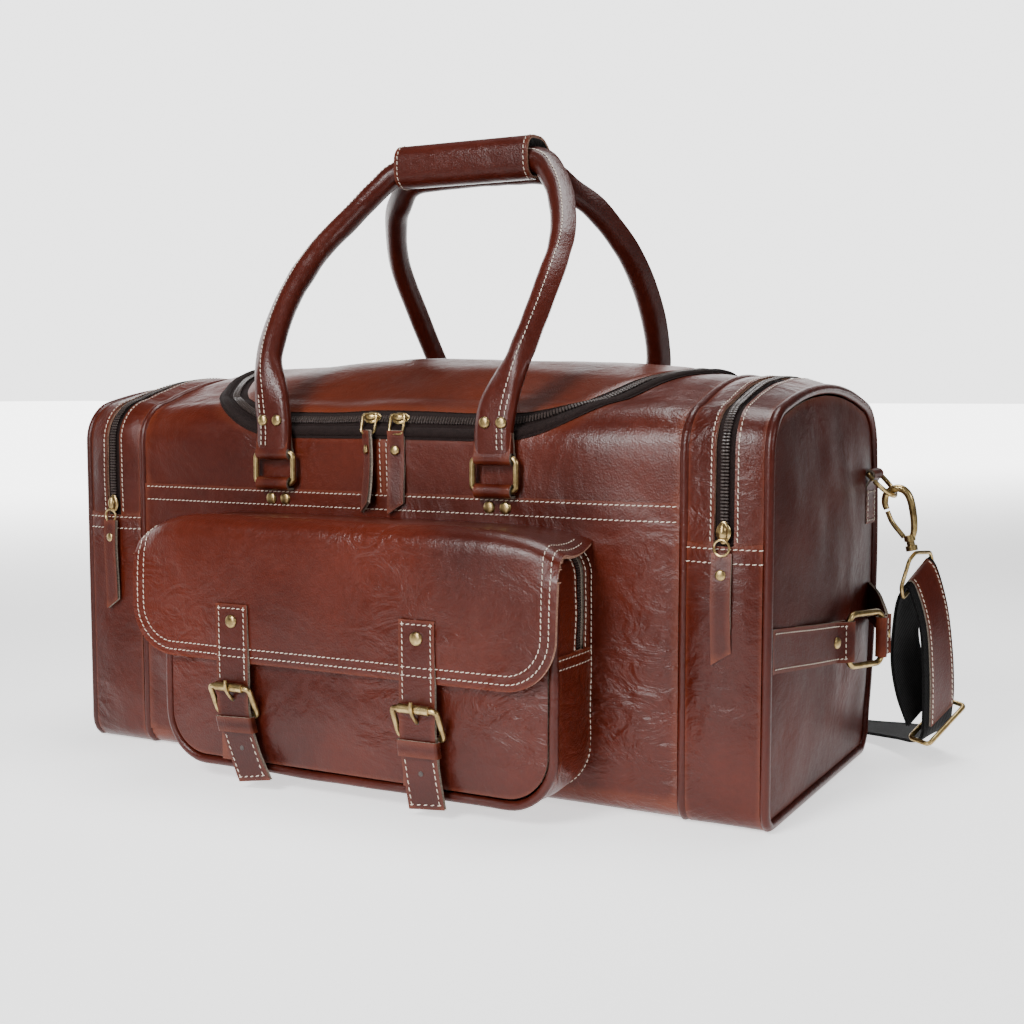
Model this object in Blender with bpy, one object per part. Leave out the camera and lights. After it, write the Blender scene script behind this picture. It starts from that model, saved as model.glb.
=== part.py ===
"""Leather weekender bag: domed main compartment with a zipped lid, two zipped end pockets, a buckled
front pocket, two rolled handles on rings and a clip-on shoulder strap. Metres, +Z up, front towards -Y.
The origin is on the floor, under the middle of the body."""

from math import cos, pi, radians, sin, tan

import bpy
import bmesh
from mathutils import Matrix, Vector

# ---- driving dimensions -------------------------------------------------------------------------
HALF_LENGTH = 0.280       # body, along X
HALF_DEPTH = 0.125        # body, along Y
SEAM_X = 0.2222           # seam between the main compartment and an end pocket
CORNER_Z = 0.236          # height where the long top edges start to round over
TOP_RADIUS = 0.030
BASE_RADIUS = 0.016
CROWN = radians(14)       # slope where the domed top leaves the rounded edge, at the ends
EXTRA_DOME = 0.0193       # further rise of the top at the middle of the bag
LEATHER = 0.003           # leather with its lining
GAP = 0.0003              # between neighbouring pieces
PIPING_RADIUS = 0.0033
PIPING_PROUD = 0.0023
WIRE = 0.002              # radius of ring and buckle wire

SEAM_Z = 0.205            # top edge of the lower front panel
SEAM_SLIT = 0.0035        # slit above it that the ring loops come out of
PANEL_HALF_X = 0.2183

LID_HALF_X, LID_FRONT_Y = 0.178, -0.1130
TEETH_HALF_X, TEETH_FRONT_Y, TEETH_Z = 0.190, -0.1221, 0.2460
TAPE_HALF_X, TAPE_FRONT_Z = 0.203, 0.2426
HINGE_Y = 0.100

RING_X = 0.0905
RING_Y, RING_LOW_Z, RING_HIGH_Z = 0.1325, 0.209, 0.231
RING_HALF = 0.0165
LOOP_HALF = 0.0132
HANDLE_RADIUS = 0.0088
FRONT_GRIP = (-0.010, 0.4475)
REAR_GRIP = (0.010, 0.4405)
WRAP_HALF = 0.0575

POCKET_HALF_X, POCKET_LOW_Z, POCKET_HIGH_Z = 0.156, 0.012, 0.176
POCKET_X = 0.004
POCKET_FRONT_Y = -0.182
POCKET_ZIP_Y, POCKET_ZIP_HALF = -0.145, 0.005
POCKET_ZIP_END_Z = 0.110
FLAP_X, FLAP_HALF_X = -0.006, 0.170
FLAP_HINGE = (-0.1268, 0.1865)
STRAP_X = {"left": -0.084, "right": 0.066}
STRAP_HALF = 0.0135

END_MID_X = 0.2495        # middle of an end pocket's gusset, where its zip runs
END_ZIP_Z = 0.1805
DRING_Y, DRING_PIVOT = 0.100, (0.2852, 0.2140)
BLACK, BROWN, BRASS = "black_tape", "leather", "antique_brass"


# ---- scene, materials and small helpers -----------------------------------------------------------
for old in list(bpy.data.objects):
    bpy.data.objects.remove(old, do_unlink=True)

PARTS = bpy.data.collections.new("weekender_bag")
CUTTERS = bpy.data.collections.new("cutters")
for collection in (PARTS, CUTTERS):
    bpy.context.scene.collection.children.link(collection)

FINISH = {
    BROWN: ((0.17, 0.035, 0.018), 0.38, 0.0),
    BLACK: ((0.012, 0.010, 0.010), 0.75, 0.0),
    BRASS: ((0.35, 0.25, 0.10), 0.35, 1.0),
}


def material(kind):
    found = bpy.data.materials.get(kind)
    if found:
        return found
    made = bpy.data.materials.new(kind)
    made.use_nodes = True
    shader = made.node_tree.nodes["Principled BSDF"]
    colour, roughness, metallic = FINISH[kind]
    shader.inputs["Base Color"].default_value = (*colour, 1.0)
    shader.inputs["Roughness"].default_value = roughness
    shader.inputs["Metallic"].default_value = metallic
    return made


def link(name, data, kind):
    """A part with its own material, or a hidden cutter when it has no material."""
    made = bpy.data.objects.new(name, data)
    if kind:
        PARTS.objects.link(made)
        data.materials.append(material(kind))
    else:
        CUTTERS.objects.link(made)
        made.hide_render = True
        made.display_type = "WIRE"
    return made


def mesh_of(name, bm, kind):
    data = bpy.data.meshes.new(name)
    bm.to_mesh(data)
    bm.free()
    return link(name, data, kind)


def to_mesh(source, kind):
    """Turns a curve object into a welded mesh object of the same name and place."""
    bpy.context.view_layer.update()
    graph = bpy.context.evaluated_depsgraph_get()
    data = bpy.data.meshes.new_from_object(source.evaluated_get(graph))
    place = source.matrix_world.copy()
    name = source.name
    bpy.data.objects.remove(source, do_unlink=True)
    bm = bmesh.new()
    bm.from_mesh(data)
    bmesh.ops.remove_doubles(bm, verts=bm.verts, dist=1e-6)
    bm.to_mesh(data)
    bm.free()
    data.materials.clear()
    made = link(name, data, kind)
    made.matrix_world = place
    return made


def boolean(target, cutter, operation):
    step = target.modifiers.new(operation.lower(), "BOOLEAN")
    step.operation = operation
    step.solver = "EXACT"
    step.object = cutter


def arc(centre, radius, start, end, steps):
    """Points of an arc, angles in radians."""
    return [
        (
            centre[0] + radius * cos(start + (end - start) * i / steps),
            centre[1] + radius * sin(start + (end - start) * i / steps),
        )
        for i in range(steps + 1)
    ]


def smooth(points, steps):
    """Catmull-Rom curve through the points, as a list of Vectors."""
    pts = [Vector(p) for p in points]
    pts = [2 * pts[0] - pts[1]] + pts + [2 * pts[-1] - pts[-2]]
    line = []
    for a, b, c, d in zip(pts, pts[1:], pts[2:], pts[3:]):
        for i in range(steps):
            t = i / steps
            line.append(
                0.5 * (2 * b + (c - a) * t + (2 * a - 5 * b + 4 * c - d) * t * t
                       + (3 * b - a - 3 * c + d) * t ** 3)
            )
    return line + [pts[-2]]


# ---- piece makers ---------------------------------------------------------------------------------
AXES = {
    "x": Matrix(((0, 0, 1), (1, 0, 0), (0, 1, 0))),  # outline in Y, Z, extruded along X
    "y": Matrix(((1, 0, 0), (0, 0, -1), (0, 1, 0))),  # outline in X, Z, extruded along Y
    "z": Matrix.Identity(3),                          # outline in X, Y, extruded along Z
}


def plate(name, outlines, axis, low, high, kind):
    """A flat closed outline, or an outline with holes, extruded along an axis from low to high."""
    data = bpy.data.curves.new(name, "CURVE")
    data.dimensions = "2D"
    data.fill_mode = "BOTH"
    data.extrude = (high - low) / 2
    for outline in outlines:
        spline = data.splines.new("POLY")
        spline.points.add(len(outline) - 1)
        for point, (a, b) in zip(spline.points, outline):
            point.co = (a, b, 0, 1)
        spline.use_cyclic_u = True
    made = link(name, data, kind)
    turn = AXES[axis]
    made.matrix_world = Matrix.Translation(turn @ Vector((0, 0, (low + high) / 2 * (-1 if axis == "y" else 1)))
                                           ) @ turn.to_4x4()
    return made


def box(name, low, high, kind):
    low, high = Vector(low), Vector(high)
    bm = bmesh.new()
    bmesh.ops.create_cube(bm, size=1.0)
    bmesh.ops.scale(bm, vec=high - low, verts=bm.verts)
    bmesh.ops.translate(bm, vec=(low + high) / 2, verts=bm.verts)
    return mesh_of(name, bm, kind)


def wire(name, points, radius, kind, closed=False):
    data = bpy.data.curves.new(name, "CURVE")
    data.dimensions = "3D"
    data.bevel_depth = radius
    data.bevel_resolution = 2
    data.use_fill_caps = not closed
    spline = data.splines.new("POLY")
    spline.points.add(len(points) - 1)
    for point, place in zip(spline.points, points):
        point.co = (*place, 1)
    spline.use_cyclic_u = closed
    spline.use_smooth = True
    return link(name, data, kind)


def rod(name, start, end, radius, kind):
    """A straight cylinder between two points."""
    start, end = Vector(start), Vector(end)
    bm = bmesh.new()
    bmesh.ops.create_cone(bm, cap_ends=True, segments=12, radius1=radius, radius2=radius,
                          depth=(end - start).length)
    turn = (end - start).to_track_quat("Z", "Y").to_matrix().to_4x4()
    bmesh.ops.transform(bm, matrix=Matrix.Translation((start + end) / 2) @ turn, verts=bm.verts)
    return mesh_of(name, bm, kind)


def loft(name, rings, closed, kind):
    """Joins matching rings of points into one closed skin, with end caps unless it closes on itself."""
    bm = bmesh.new()
    rows = [[bm.verts.new(p) for p in ring] for ring in rings]
    pairs = list(zip(rows, rows[1:])) + ([(rows[-1], rows[0])] if closed else [])
    for row, following in pairs:
        for i in range(len(row)):
            j = (i + 1) % len(row)
            bm.faces.new((row[i], row[j], following[j], following[i]))
    if not closed:
        bm.faces.new(reversed(rows[0]))
        bm.faces.new(rows[-1])
    bmesh.ops.recalc_face_normals(bm, faces=bm.faces)
    return mesh_of(name, bm, kind)


def ribbon(name, stations, width, thickness, kind, lift=0.0, span=None, steps=3):
    """A flat strap along (point, width direction) stations, or along a span of them. Lift moves it off
    the line, to its face side."""
    line = smooth([p for p, _ in stations], steps)
    across = smooth([w for _, w in stations], steps)
    first, last = span or (0, len(stations) - 1)
    rings = []
    for i in range(first * steps, last * steps + 1):
        ahead = (line[min(i + 1, len(line) - 1)] - line[max(i - 1, 0)]).normalized()
        side = across[i].normalized()
        face = ahead.cross(side)
        middle = line[i] + face.normalized() * lift
        w, t = side * (width / 2 / face.length), face.normalized() * (thickness / 2)
        rings.append([middle - w - t, middle + w - t, middle + w + t, middle - w + t])
    return loft(name, rings, False, kind)


def rounded_rectangle(half_x, low, high, radius_low, radius_high, middle=0.0):
    """Closed outline, anticlockwise from the lower left corner."""
    corners = (
        ((middle - half_x + radius_low, low + radius_low), radius_low, pi),
        ((middle + half_x - radius_low, low + radius_low), radius_low, 1.5 * pi),
        ((middle + half_x - radius_high, high - radius_high), radius_high, 0.0),
        ((middle - half_x + radius_high, high - radius_high), radius_high, 0.5 * pi),
    )
    return [p for centre, r, start in corners for p in arc(centre, r, start, start + pi / 2, 4)]


def inset(outline, distance):
    """The outline moved inwards along its own normals; it runs anticlockwise."""
    moved = []
    for i, (a, b) in enumerate(outline):
        before, after = Vector(outline[i - 1]), Vector(outline[(i + 1) % len(outline)])
        here = Vector((a, b))
        one, two = (here - before).normalized(), (after - here).normalized()
        normal = Vector((-one.y - two.y, one.x + two.x)).normalized()
        stretch = max(normal.dot(Vector((-one.y, one.x))), 0.5)
        moved.append(tuple(here + normal * (distance / stretch)))
    return moved


def joint(name, place, pieces, parent=None):
    """An empty on a joint's axis that carries the pieces that turn or slide with it."""
    pivot = bpy.data.objects.new(name, None)
    PARTS.objects.link(pivot)
    pivot.location = place
    if parent:
        bpy.context.view_layer.update()
        pivot.parent = parent
        pivot.matrix_parent_inverse = parent.matrix_world.inverted()
    bpy.context.view_layer.update()
    for piece in pieces:
        piece.parent = pivot
        piece.matrix_parent_inverse = pivot.matrix_world.inverted()
    return pivot


# ---- body section: upright sides, rounded long edges and a domed top ------------------------------
def over_top(start_z, depth=0.0):
    """From the front at start_z, over the top, to the back; depth moves it inwards."""
    corner_y, radius = HALF_DEPTH - TOP_RADIUS, TOP_RADIUS - depth
    dome_radius = radius + corner_y / sin(CROWN)
    dome_z = CORNER_Z - corner_y / tan(CROWN)
    front = arc((-corner_y, CORNER_Z), radius, pi, pi / 2 + CROWN, 5)
    dome = arc((0.0, dome_z), dome_radius, pi / 2 + CROWN, pi / 2 - CROWN, 10)
    back = arc((corner_y, CORNER_Z), radius, pi / 2 - CROWN, 0.0, 5)
    side = HALF_DEPTH - depth
    return [(-side, start_z)] + front + dome[1:-1] + back + [(side, start_z)]


def under_base(start_z, depth=0.0):
    """From the front at start_z, under the base, to the back."""
    corner_y, radius = HALF_DEPTH - BASE_RADIUS, BASE_RADIUS - depth
    front = arc((-corner_y, BASE_RADIUS), radius, pi, 1.5 * pi, 4)
    back = arc((corner_y, BASE_RADIUS), radius, 1.5 * pi, 2 * pi, 4)
    return [(-HALF_DEPTH + depth, start_z)] + front + back + [(HALF_DEPTH - depth, start_z)]


def domed(x, y, z):
    """The top rises further towards the middle of the bag."""
    if z < CORNER_Z or abs(y) > HALF_DEPTH - TOP_RADIUS:
        return (x, y, z)
    rise = EXTRA_DOME * (1 - (x / HALF_LENGTH) ** 2)
    return (x, y, z + rise * (1 - (y / (HALF_DEPTH - TOP_RADIUS)) ** 2))


def skin(name, start_z, depth, thickness, low_x, high_x, kind, steps=8):
    """A sheet that follows the top of the bag, its outer side at the given depth."""
    outline = over_top(start_z, depth) + over_top(start_z, depth + thickness)[::-1]
    stations = [low_x + (high_x - low_x) * i / steps for i in range(steps + 1)]
    sheet = loft(name, [[domed(x, y, z) for y, z in outline] for x in stations], False, kind)
    bm = bmesh.new()
    bm.from_mesh(sheet.data)
    bmesh.ops.triangulate(bm, faces=bm.faces)
    bm.to_mesh(sheet.data)
    bm.free()
    return sheet


def lid_prism(name, half_x, front_y, low_z, back_y):
    """Upright cutter with the lid's outline: straight front, elliptical front corners, straight sides."""
    corner_x, corner_y = 0.090, -0.010
    right = [
        (corner_x + (half_x - corner_x) * sin(a), corner_y + (front_y - corner_y) * cos(a))
        for a in (i * pi / 16 for i in range(9))
    ]
    left = [(-x, y) for x, y in reversed(right)]
    outline = right + [(half_x, back_y), (-half_x, back_y)] + left
    return to_mesh(plate(name, [outline], "z", low_z, 0.34, None), None)


def main_compartment():
    plate("base_panel", [under_base(0.0161) + under_base(0.0161, LEATHER)[::-1]], "x",
          -PANEL_HALF_X, PANEL_HALF_X, BROWN)
    for name, side in (("front_panel", -1), ("rear_panel", 1)):
        faces = sorted((side * HALF_DEPTH, side * (HALF_DEPTH - LEATHER)))
        box(name, (-PANEL_HALF_X, faces[0], 0.0164), (PANEL_HALF_X, faces[1], SEAM_Z), BROWN)

    seam_top = SEAM_Z + SEAM_SLIT
    opening = lid_prism("opening_cutter", TAPE_HALF_X + GAP, -0.14, TAPE_FRONT_Z - GAP, HINGE_Y + 0.0004)
    for name, low, high in (("upper_panel_left", -PANEL_HALF_X, -GAP / 2),
                            ("upper_panel_right", GAP / 2, PANEL_HALF_X)):
        panel = skin(name, seam_top, 0.0, LEATHER, low, high, BROWN, steps=4)
        boolean(panel, opening, "DIFFERENCE")

    lid = skin("lid", seam_top, 0.0, LEATHER, -0.21, 0.21, BROWN)
    boolean(lid, lid_prism("lid_cutter", LID_HALF_X, LID_FRONT_Y, 0.2, HINGE_Y - 0.0004), "INTERSECT")
    inner_tape = skin("main_zip_lid_tape", seam_top, 0.001, 0.0015, -0.21, 0.21, BLACK)
    boolean(inner_tape, lid_prism("teeth_cutter", TEETH_HALF_X, TEETH_FRONT_Y, TEETH_Z, 0.096), "INTERSECT")
    boolean(inner_tape, lid_prism("lid_edge_cutter", LID_HALF_X + GAP, LID_FRONT_Y - GAP, 0.19, 0.2),
            "DIFFERENCE")
    outer_tape = skin("main_zip_body_tape", seam_top, 0.001, 0.0015, -0.21, 0.21, BLACK)
    boolean(outer_tape, lid_prism("tape_cutter", TAPE_HALF_X, -0.14, TAPE_FRONT_Z, 0.096), "INTERSECT")
    boolean(outer_tape, lid_prism("teeth_edge_cutter", TEETH_HALF_X + GAP, TEETH_FRONT_Y - GAP,
                                  TEETH_Z - GAP, 0.2), "DIFFERENCE")
    return lid, inner_tape


def piped_loop(name, outline, low, high, piped, place):
    """A strip of leather bent round a closed outline, with a round piped bead on the piped edges."""
    section = []
    for at, outward in ((high, 1), (low, -1)):
        if at in piped:
            centre = (at - outward * PIPING_RADIUS, PIPING_PROUD - PIPING_RADIUS)
            start = radians(130 if outward > 0 else -50)
            section += arc(centre, PIPING_RADIUS, start, start - radians(260), 7)
        else:
            section += [(at, 0.0), (at, -LEATHER)][::outward]
    offsets = {n: inset(outline, -n) for n in {round(n, 7) for _, n in section}}
    rings = [[place(along, *offsets[round(n, 7)][i]) for along, n in section] for i in range(len(outline))]
    return loft(name, rings, True, BROWN)


def end_pocket(side, sign):
    outline = inset(under_base(BASE_RADIUS)[1:-1] + over_top(CORNER_Z)[::-1][1:-1], PIPING_PROUD)
    mirrored = lambda x, y, z: domed(sign * x, y, z)
    gusset = piped_loop(f"end_gusset_{side}", outline, SEAM_X - PIPING_RADIUS, HALF_LENGTH,
                        (SEAM_X - PIPING_RADIUS, HALF_LENGTH), mirrored)
    slot = box(f"end_zip_slot_{side}", (sign * END_MID_X - 0.0068, -0.15, END_ZIP_Z),
               (sign * END_MID_X + 0.0068, 0.15, 0.33), None)
    boolean(gusset, slot, "DIFFERENCE")
    skin(f"end_zip_{side}", END_ZIP_Z + GAP, 0.0038, 0.0015, sign * END_MID_X - 0.0064,
         sign * END_MID_X + 0.0064, BLACK, steps=1)
    face = inset(outline, PIPING_RADIUS * 2 - PIPING_PROUD + 0.0012)
    ends = sorted((sign * (HALF_LENGTH - 0.0033), sign * (HALF_LENGTH - 0.0005)))
    plate(f"end_panel_{side}", [face], "x", ends[0], ends[1], BROWN)


def slider(name, x, y_range, z_range):
    return box(name, (x - 0.0045, y_range[0], z_range[0]), (x + 0.0045, y_range[1], z_range[1]), BRASS)


def pull(name, x, faces, top, length):
    """Leather pull tab with a slanted tip."""
    half = 0.0062
    outline = [(x - half, top), (x - half, top - length), (x + half, top - length + 0.008), (x + half, top)]
    return plate(name, [outline], "y", faces[0], faces[1], BROWN)


def front_pocket():
    outline = rounded_rectangle(POCKET_HALF_X, POCKET_LOW_Z, POCKET_HIGH_Z, 0.035, 0.020, POCKET_X)
    bm_place = lambda y, x, z: (x, -y, z)
    back, front = HALF_DEPTH + 0.0004, -POCKET_FRONT_Y
    gusset = piped_loop("pocket_gusset", inset(outline, PIPING_PROUD), back, front, (front,), bm_place)
    slot = box("pocket_zip_slot", (-0.2, POCKET_ZIP_Y - POCKET_ZIP_HALF - 0.0004, POCKET_ZIP_END_Z),
               (0.2, POCKET_ZIP_Y + POCKET_ZIP_HALF + 0.0004, 0.2), None)
    boolean(gusset, slot, "DIFFERENCE")
    low = POCKET_ZIP_END_Z + GAP
    tape = [p for p in inset(outline, PIPING_PROUD + 0.0005) if p[1] > low]
    right = [p for p in tape if p[0] > POCKET_X]
    left = [p for p in tape if p[0] < POCKET_X]
    outer = [(right[0][0], low)] + right + left + [(left[-1][0], low)]
    inner = [(right[0][0] - 0.0015, low)]
    inner += [p for p in inset(outline, PIPING_PROUD + 0.0020) if p[1] > low]
    inner += [(left[-1][0] + 0.0015, low)]
    plate("pocket_zip", [outer + inner[::-1]], "y", POCKET_ZIP_Y - POCKET_ZIP_HALF,
          POCKET_ZIP_Y + POCKET_ZIP_HALF, BLACK)
    face = inset(outline, PIPING_RADIUS * 2 + 0.0012)
    plate("pocket_front", [face], "y", POCKET_FRONT_Y + 0.0005, POCKET_FRONT_Y + 0.0033, BROWN)

    side = POCKET_X - POCKET_HALF_X
    tab = box("pocket_pull", (side - 0.0030, POCKET_ZIP_Y - 0.0045, 0.0720),
              (side - 0.0012, POCKET_ZIP_Y + 0.0045, 0.1180), BROWN)
    joint("pocket_pull_axis", (side, POCKET_ZIP_Y, 0.114), [tab])


def flap_and_straps():
    thickness = 0.0025
    y, z = FLAP_HINGE
    bend = (-0.1765, 0.1745)
    outer = [(y + 0.0006, z + thickness / 2), (bend[0], bend[1] + 0.0120)]
    outer += arc(bend, 0.0120, pi / 2, pi, 5)[1:] + [(-0.1890, 0.088)]
    inner = [(-0.1865, 0.088)] + arc(bend, 0.0120 - thickness, pi, pi / 2, 5)
    inner += [(y + 0.0006, z - thickness / 2)]
    flap = to_mesh(plate("pocket_flap", [outer + inner], "x", FLAP_X - FLAP_HALF_X, FLAP_X + FLAP_HALF_X,
                         BROWN), BROWN)
    trim = rounded_rectangle(FLAP_HALF_X + 0.001, 0.087, 0.230, 0.036, 0.004, FLAP_X)
    boolean(flap, to_mesh(plate("flap_cutter", [trim], "y", -0.22, -0.1, None), None), "INTERSECT")

    carried = [flap]
    face_y = -0.1893
    strap_y = (face_y - 0.0025, face_y)
    for side, x in STRAP_X.items():
        tail = rounded_rectangle(STRAP_HALF, 0.0045, 0.129, 0.002, 0.002, x)
        slot = [(x + 0.0019 * cos(a), 0.0590 - 0.0056 * sin(a)) for a in (i * pi / 6 for i in range(12))]
        spare = [(x + 0.0019 * cos(a), 0.0290 - 0.0019 * sin(a)) for a in (i * pi / 4 for i in range(8))]
        carried.append(plate(f"flap_strap_{side}", [tail, slot, spare], "y", *strap_y, BROWN))

        bar_low = (-0.1857, 0.0510)
        bar_high = (strap_y[0] - GAP - 0.0031, 0.0715)
        reach = STRAP_HALF + 0.0035
        loop = [(x + s * reach, *bar) for s, bar in
                ((-1, bar_low), (1, bar_low), (1, bar_high), (-1, bar_high))]
        frame = to_mesh(wire(f"buckle_frame_{side}", loop, 0.0018, BRASS, closed=True), BRASS)
        boolean(frame, rod(f"prong_{side}", (x, *bar_low), (x, bar_high[0] - 0.0034, 0.0735), 0.0012, None),
                "UNION")
        carried.append(frame)

        behind = strap_y[1] + 0.0004
        fold = arc(bar_low, 0.0031, radians(-60), radians(180), 8) + [(behind, 0.0180), (behind + 0.0018, 0.0180)]
        eye = arc(bar_low, 0.0021, 0, -2 * pi, 10)[:-1]
        chape = to_mesh(plate(f"buckle_chape_{side}", [fold, eye], "x", x - STRAP_HALF, x + STRAP_HALF, BROWN),
                        BROWN)
        around = rounded_rectangle(STRAP_HALF + 0.0024, strap_y[0] - 0.0018, behind + 0.0014, 0.0018, 0.0010, x)
        within = rounded_rectangle(STRAP_HALF + 0.0009, strap_y[0] - 0.0003, behind + 0.0002, 0.0006, 0.0004, x)
        boolean(chape, to_mesh(plate(f"keeper_{side}", [around, within], "z", 0.0395, 0.0465, None), None),
                "UNION")
        boolean(chape, box(f"prong_slot_{side}", (x - 0.0022, -0.195, 0.0480), (x + 0.0022, -0.1845, 0.0560), None),
                "DIFFERENCE")
        carried.append(chape)
    joint("pocket_flap_axis", (0, *FLAP_HINGE), carried)


def zip_sliders(lid_axis):
    """Two sliders head to head on the lid, one on each end pocket, each with its pull tab."""
    for side, sign in (("left", -1), ("right", 1)):
        x = sign * 0.0115
        head = slider(f"main_slider_{side}", x, (-0.1235, -0.1185), (0.2535, 0.2600))
        tab = pull(f"main_pull_{side}", x, (-0.1272, -0.1256), 0.2500, 0.0585)
        carrier = joint(f"main_slider_{side}_axis", (x, -0.121, 0.256), [head], lid_axis)
        joint(f"main_pull_{side}_axis", (x, -0.1264, 0.2505), [tab], carrier)

        x = sign * END_MID_X
        head = slider(f"end_slider_{side}", x, (-0.1256, -0.1215), (0.1832, 0.1925))
        tab = pull(f"end_pull_{side}", x, (-0.1275, -0.1259), 0.1815, 0.0750)
        carrier = joint(f"end_slider_{side}_axis", (x, -0.123, 0.188), [head])
        joint(f"end_pull_{side}_axis", (x, -0.1267, 0.1820), [tab], carrier)


# ---- handles, rings and their loops ----------------------------------------------------------------
def handle_line(sign, grip):
    """Half of a handle's centre line, from the ring to the middle of the grip."""
    near, far = RING_Y - 0.0015, abs(grip[0])
    half = [
        (RING_X, near, 0.252), (0.0965, near - 0.002, 0.272), (0.1035, 0.1180, 0.302),
        (0.1070, 0.0920, 0.342), (0.1035, 0.0590, 0.380), (0.0890, 0.0310, 0.411),
        (0.0750, far + 0.0070, grip[1] - 0.0160), (0.0600, far + 0.0004, grip[1] - 0.0030),
        (0.0300, far, grip[1] - 0.0005), (0.0, far, grip[1]),
    ]
    half = [(x, sign * y, z) for x, y, z in half]
    return half + [(-x, y, z) for x, y, z in reversed(half[:-1])]


def handle(name, sign, grip):
    tube = to_mesh(wire(name, smooth(handle_line(sign, grip), 3), HANDLE_RADIUS, BROWN), BROWN)
    for number, x in enumerate((-RING_X, RING_X)):
        fold = arc((sign * RING_Y, RING_HIGH_Z), 0.0048, pi, 2 * pi, 6)
        fold += [(sign * RING_Y + 0.0048, 0.262), (sign * RING_Y + 0.0015, 0.268),
                 (sign * RING_Y - 0.0015, 0.268), (sign * RING_Y - 0.0048, 0.262)]
        eye = arc((sign * RING_Y, RING_HIGH_Z), 0.0025, 0, -2 * pi, 10)[:-1]
        end = to_mesh(plate(f"{name}_end_{number}", [fold, eye], "x", x - LOOP_HALF, x + LOOP_HALF, None),
                      None)
        boolean(tube, end, "UNION")
    return tube


def ring(name, x, y):
    outline = rounded_rectangle(RING_HALF, RING_LOW_Z, RING_HIGH_Z, 0.003, 0.003, x)
    return wire(name, [(a, y, b) for a, b in outline], WIRE, BRASS, closed=True)


def ring_loops(name, sign):
    """Two leather loops round the rings' lower bars, on one strip sewn behind the seam."""
    strip_y = sorted((sign * (HALF_DEPTH - LEATHER - 0.0004), sign * (HALF_DEPTH - LEATHER - 0.0024)))
    top_z = SEAM_Z + SEAM_SLIT - GAP
    strip = box(name, (-0.112, strip_y[0], 0.188), (0.112, strip_y[1], top_z), BROWN)
    for number, x in enumerate((-RING_X, RING_X)):
        centre = (RING_Y, RING_LOW_Z)
        head = arc(centre, 0.0046, radians(-20), radians(250), 9)
        tail = [(HALF_DEPTH - LEATHER - 0.0014, SEAM_Z + GAP), (HALF_DEPTH - LEATHER - 0.0014, top_z),
                (RING_Y - 0.0060, top_z)]
        outline = [(sign * y, z) for y, z in [(-y + 2 * RING_Y, z) for y, z in head] + tail]
        eye = [(sign * y, z) for y, z in arc(centre, 0.0024, 0, -2 * pi, 10)[:-1]]
        loop = to_mesh(plate(f"{name}_{number}", [outline, eye], "x", x - LOOP_HALF, x + LOOP_HALF, None),
                       None)
        boolean(strip, loop, "UNION")
    return strip


def handles():
    pivots = {}
    for end, sign, grip in (("front", -1, FRONT_GRIP), ("rear", 1, REAR_GRIP)):
        ring_loops(f"ring_loops_{end}", sign)
        rings = [ring(f"handle_ring_{end}_{side}", x, sign * RING_Y)
                 for side, x in (("left", -RING_X), ("right", RING_X))]
        carry = handle(f"handle_{end}", sign, grip)
        swing = joint(f"{end}_rings_axis", (0, sign * RING_Y, RING_LOW_Z), rings)
        pivots[end] = joint(f"handle_{end}_axis", (0, sign * RING_Y, RING_HIGH_Z), [carry], swing)
    grip_cover(pivots["front"])


def band(centre_line, thickness):
    """Closed outline of a strip of leather bent along a centre line in Y, Z."""
    pts = [Vector(p) for p in centre_line]
    sides = ([], [])
    for i, p in enumerate(pts):
        ahead = (pts[min(i + 1, len(pts) - 1)] - pts[max(i - 1, 0)]).normalized()
        normal = Vector((-ahead.y, ahead.x)) * (thickness / 2)
        sides[0].append(tuple(p + normal))
        sides[1].append(tuple(p - normal))
    return sides[0] + sides[1][::-1]


def grip_cover(front_axis):
    """The grip's wrap: a leather channel on the front handle, and its free edge over the rear one."""
    y, z = FRONT_GRIP
    radius = HANDLE_RADIUS + 0.0023
    crest_z = z + 0.0163
    line = [(y + 0.0080, z - 0.0140), (y, z - 0.0150)]
    line += arc((y, z - 0.0040), radius, radians(255), radians(180), 4)
    line += arc((y, z + 0.0052), radius, radians(180), radians(90), 5) + [(y + 0.0100, crest_z)]
    wrap = plate("grip_wrap", [band(line, 0.0022)], "x", -WRAP_HALF, WRAP_HALF, BROWN)
    wrap.parent = front_axis
    wrap.matrix_parent_inverse = front_axis.matrix_world.inverted()
    crest = (y + 0.0108, crest_z)
    free = [crest, (y + 0.0165, crest_z - 0.0020), (y + 0.0250, crest_z - 0.0085), (y + 0.0315, crest_z - 0.0150)]
    flap = plate("grip_flap", [band(free, 0.0022)], "x", -WRAP_HALF, WRAP_HALF, BROWN)
    joint("grip_flap_axis", (0, *crest), [flap], front_axis)


# ---- end fittings: grab straps, D-rings, hooks and the shoulder strap --------------------------------
GRAB_LINE = [
    ((0.2822, -0.118, 0.1150), (0, 0, 1)), ((0.2870, -0.070, 0.1130), (0, 0, 1)),
    ((0.2935, -0.015, 0.1070), (0, 0, 1)), ((0.2990, 0.020, 0.1045), (0, 0, 1)),
    ((0.2965, 0.060, 0.1075), (0, 0, 1)), ((0.2822, 0.118, 0.1170), (0, 0, 1)),
]
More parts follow.
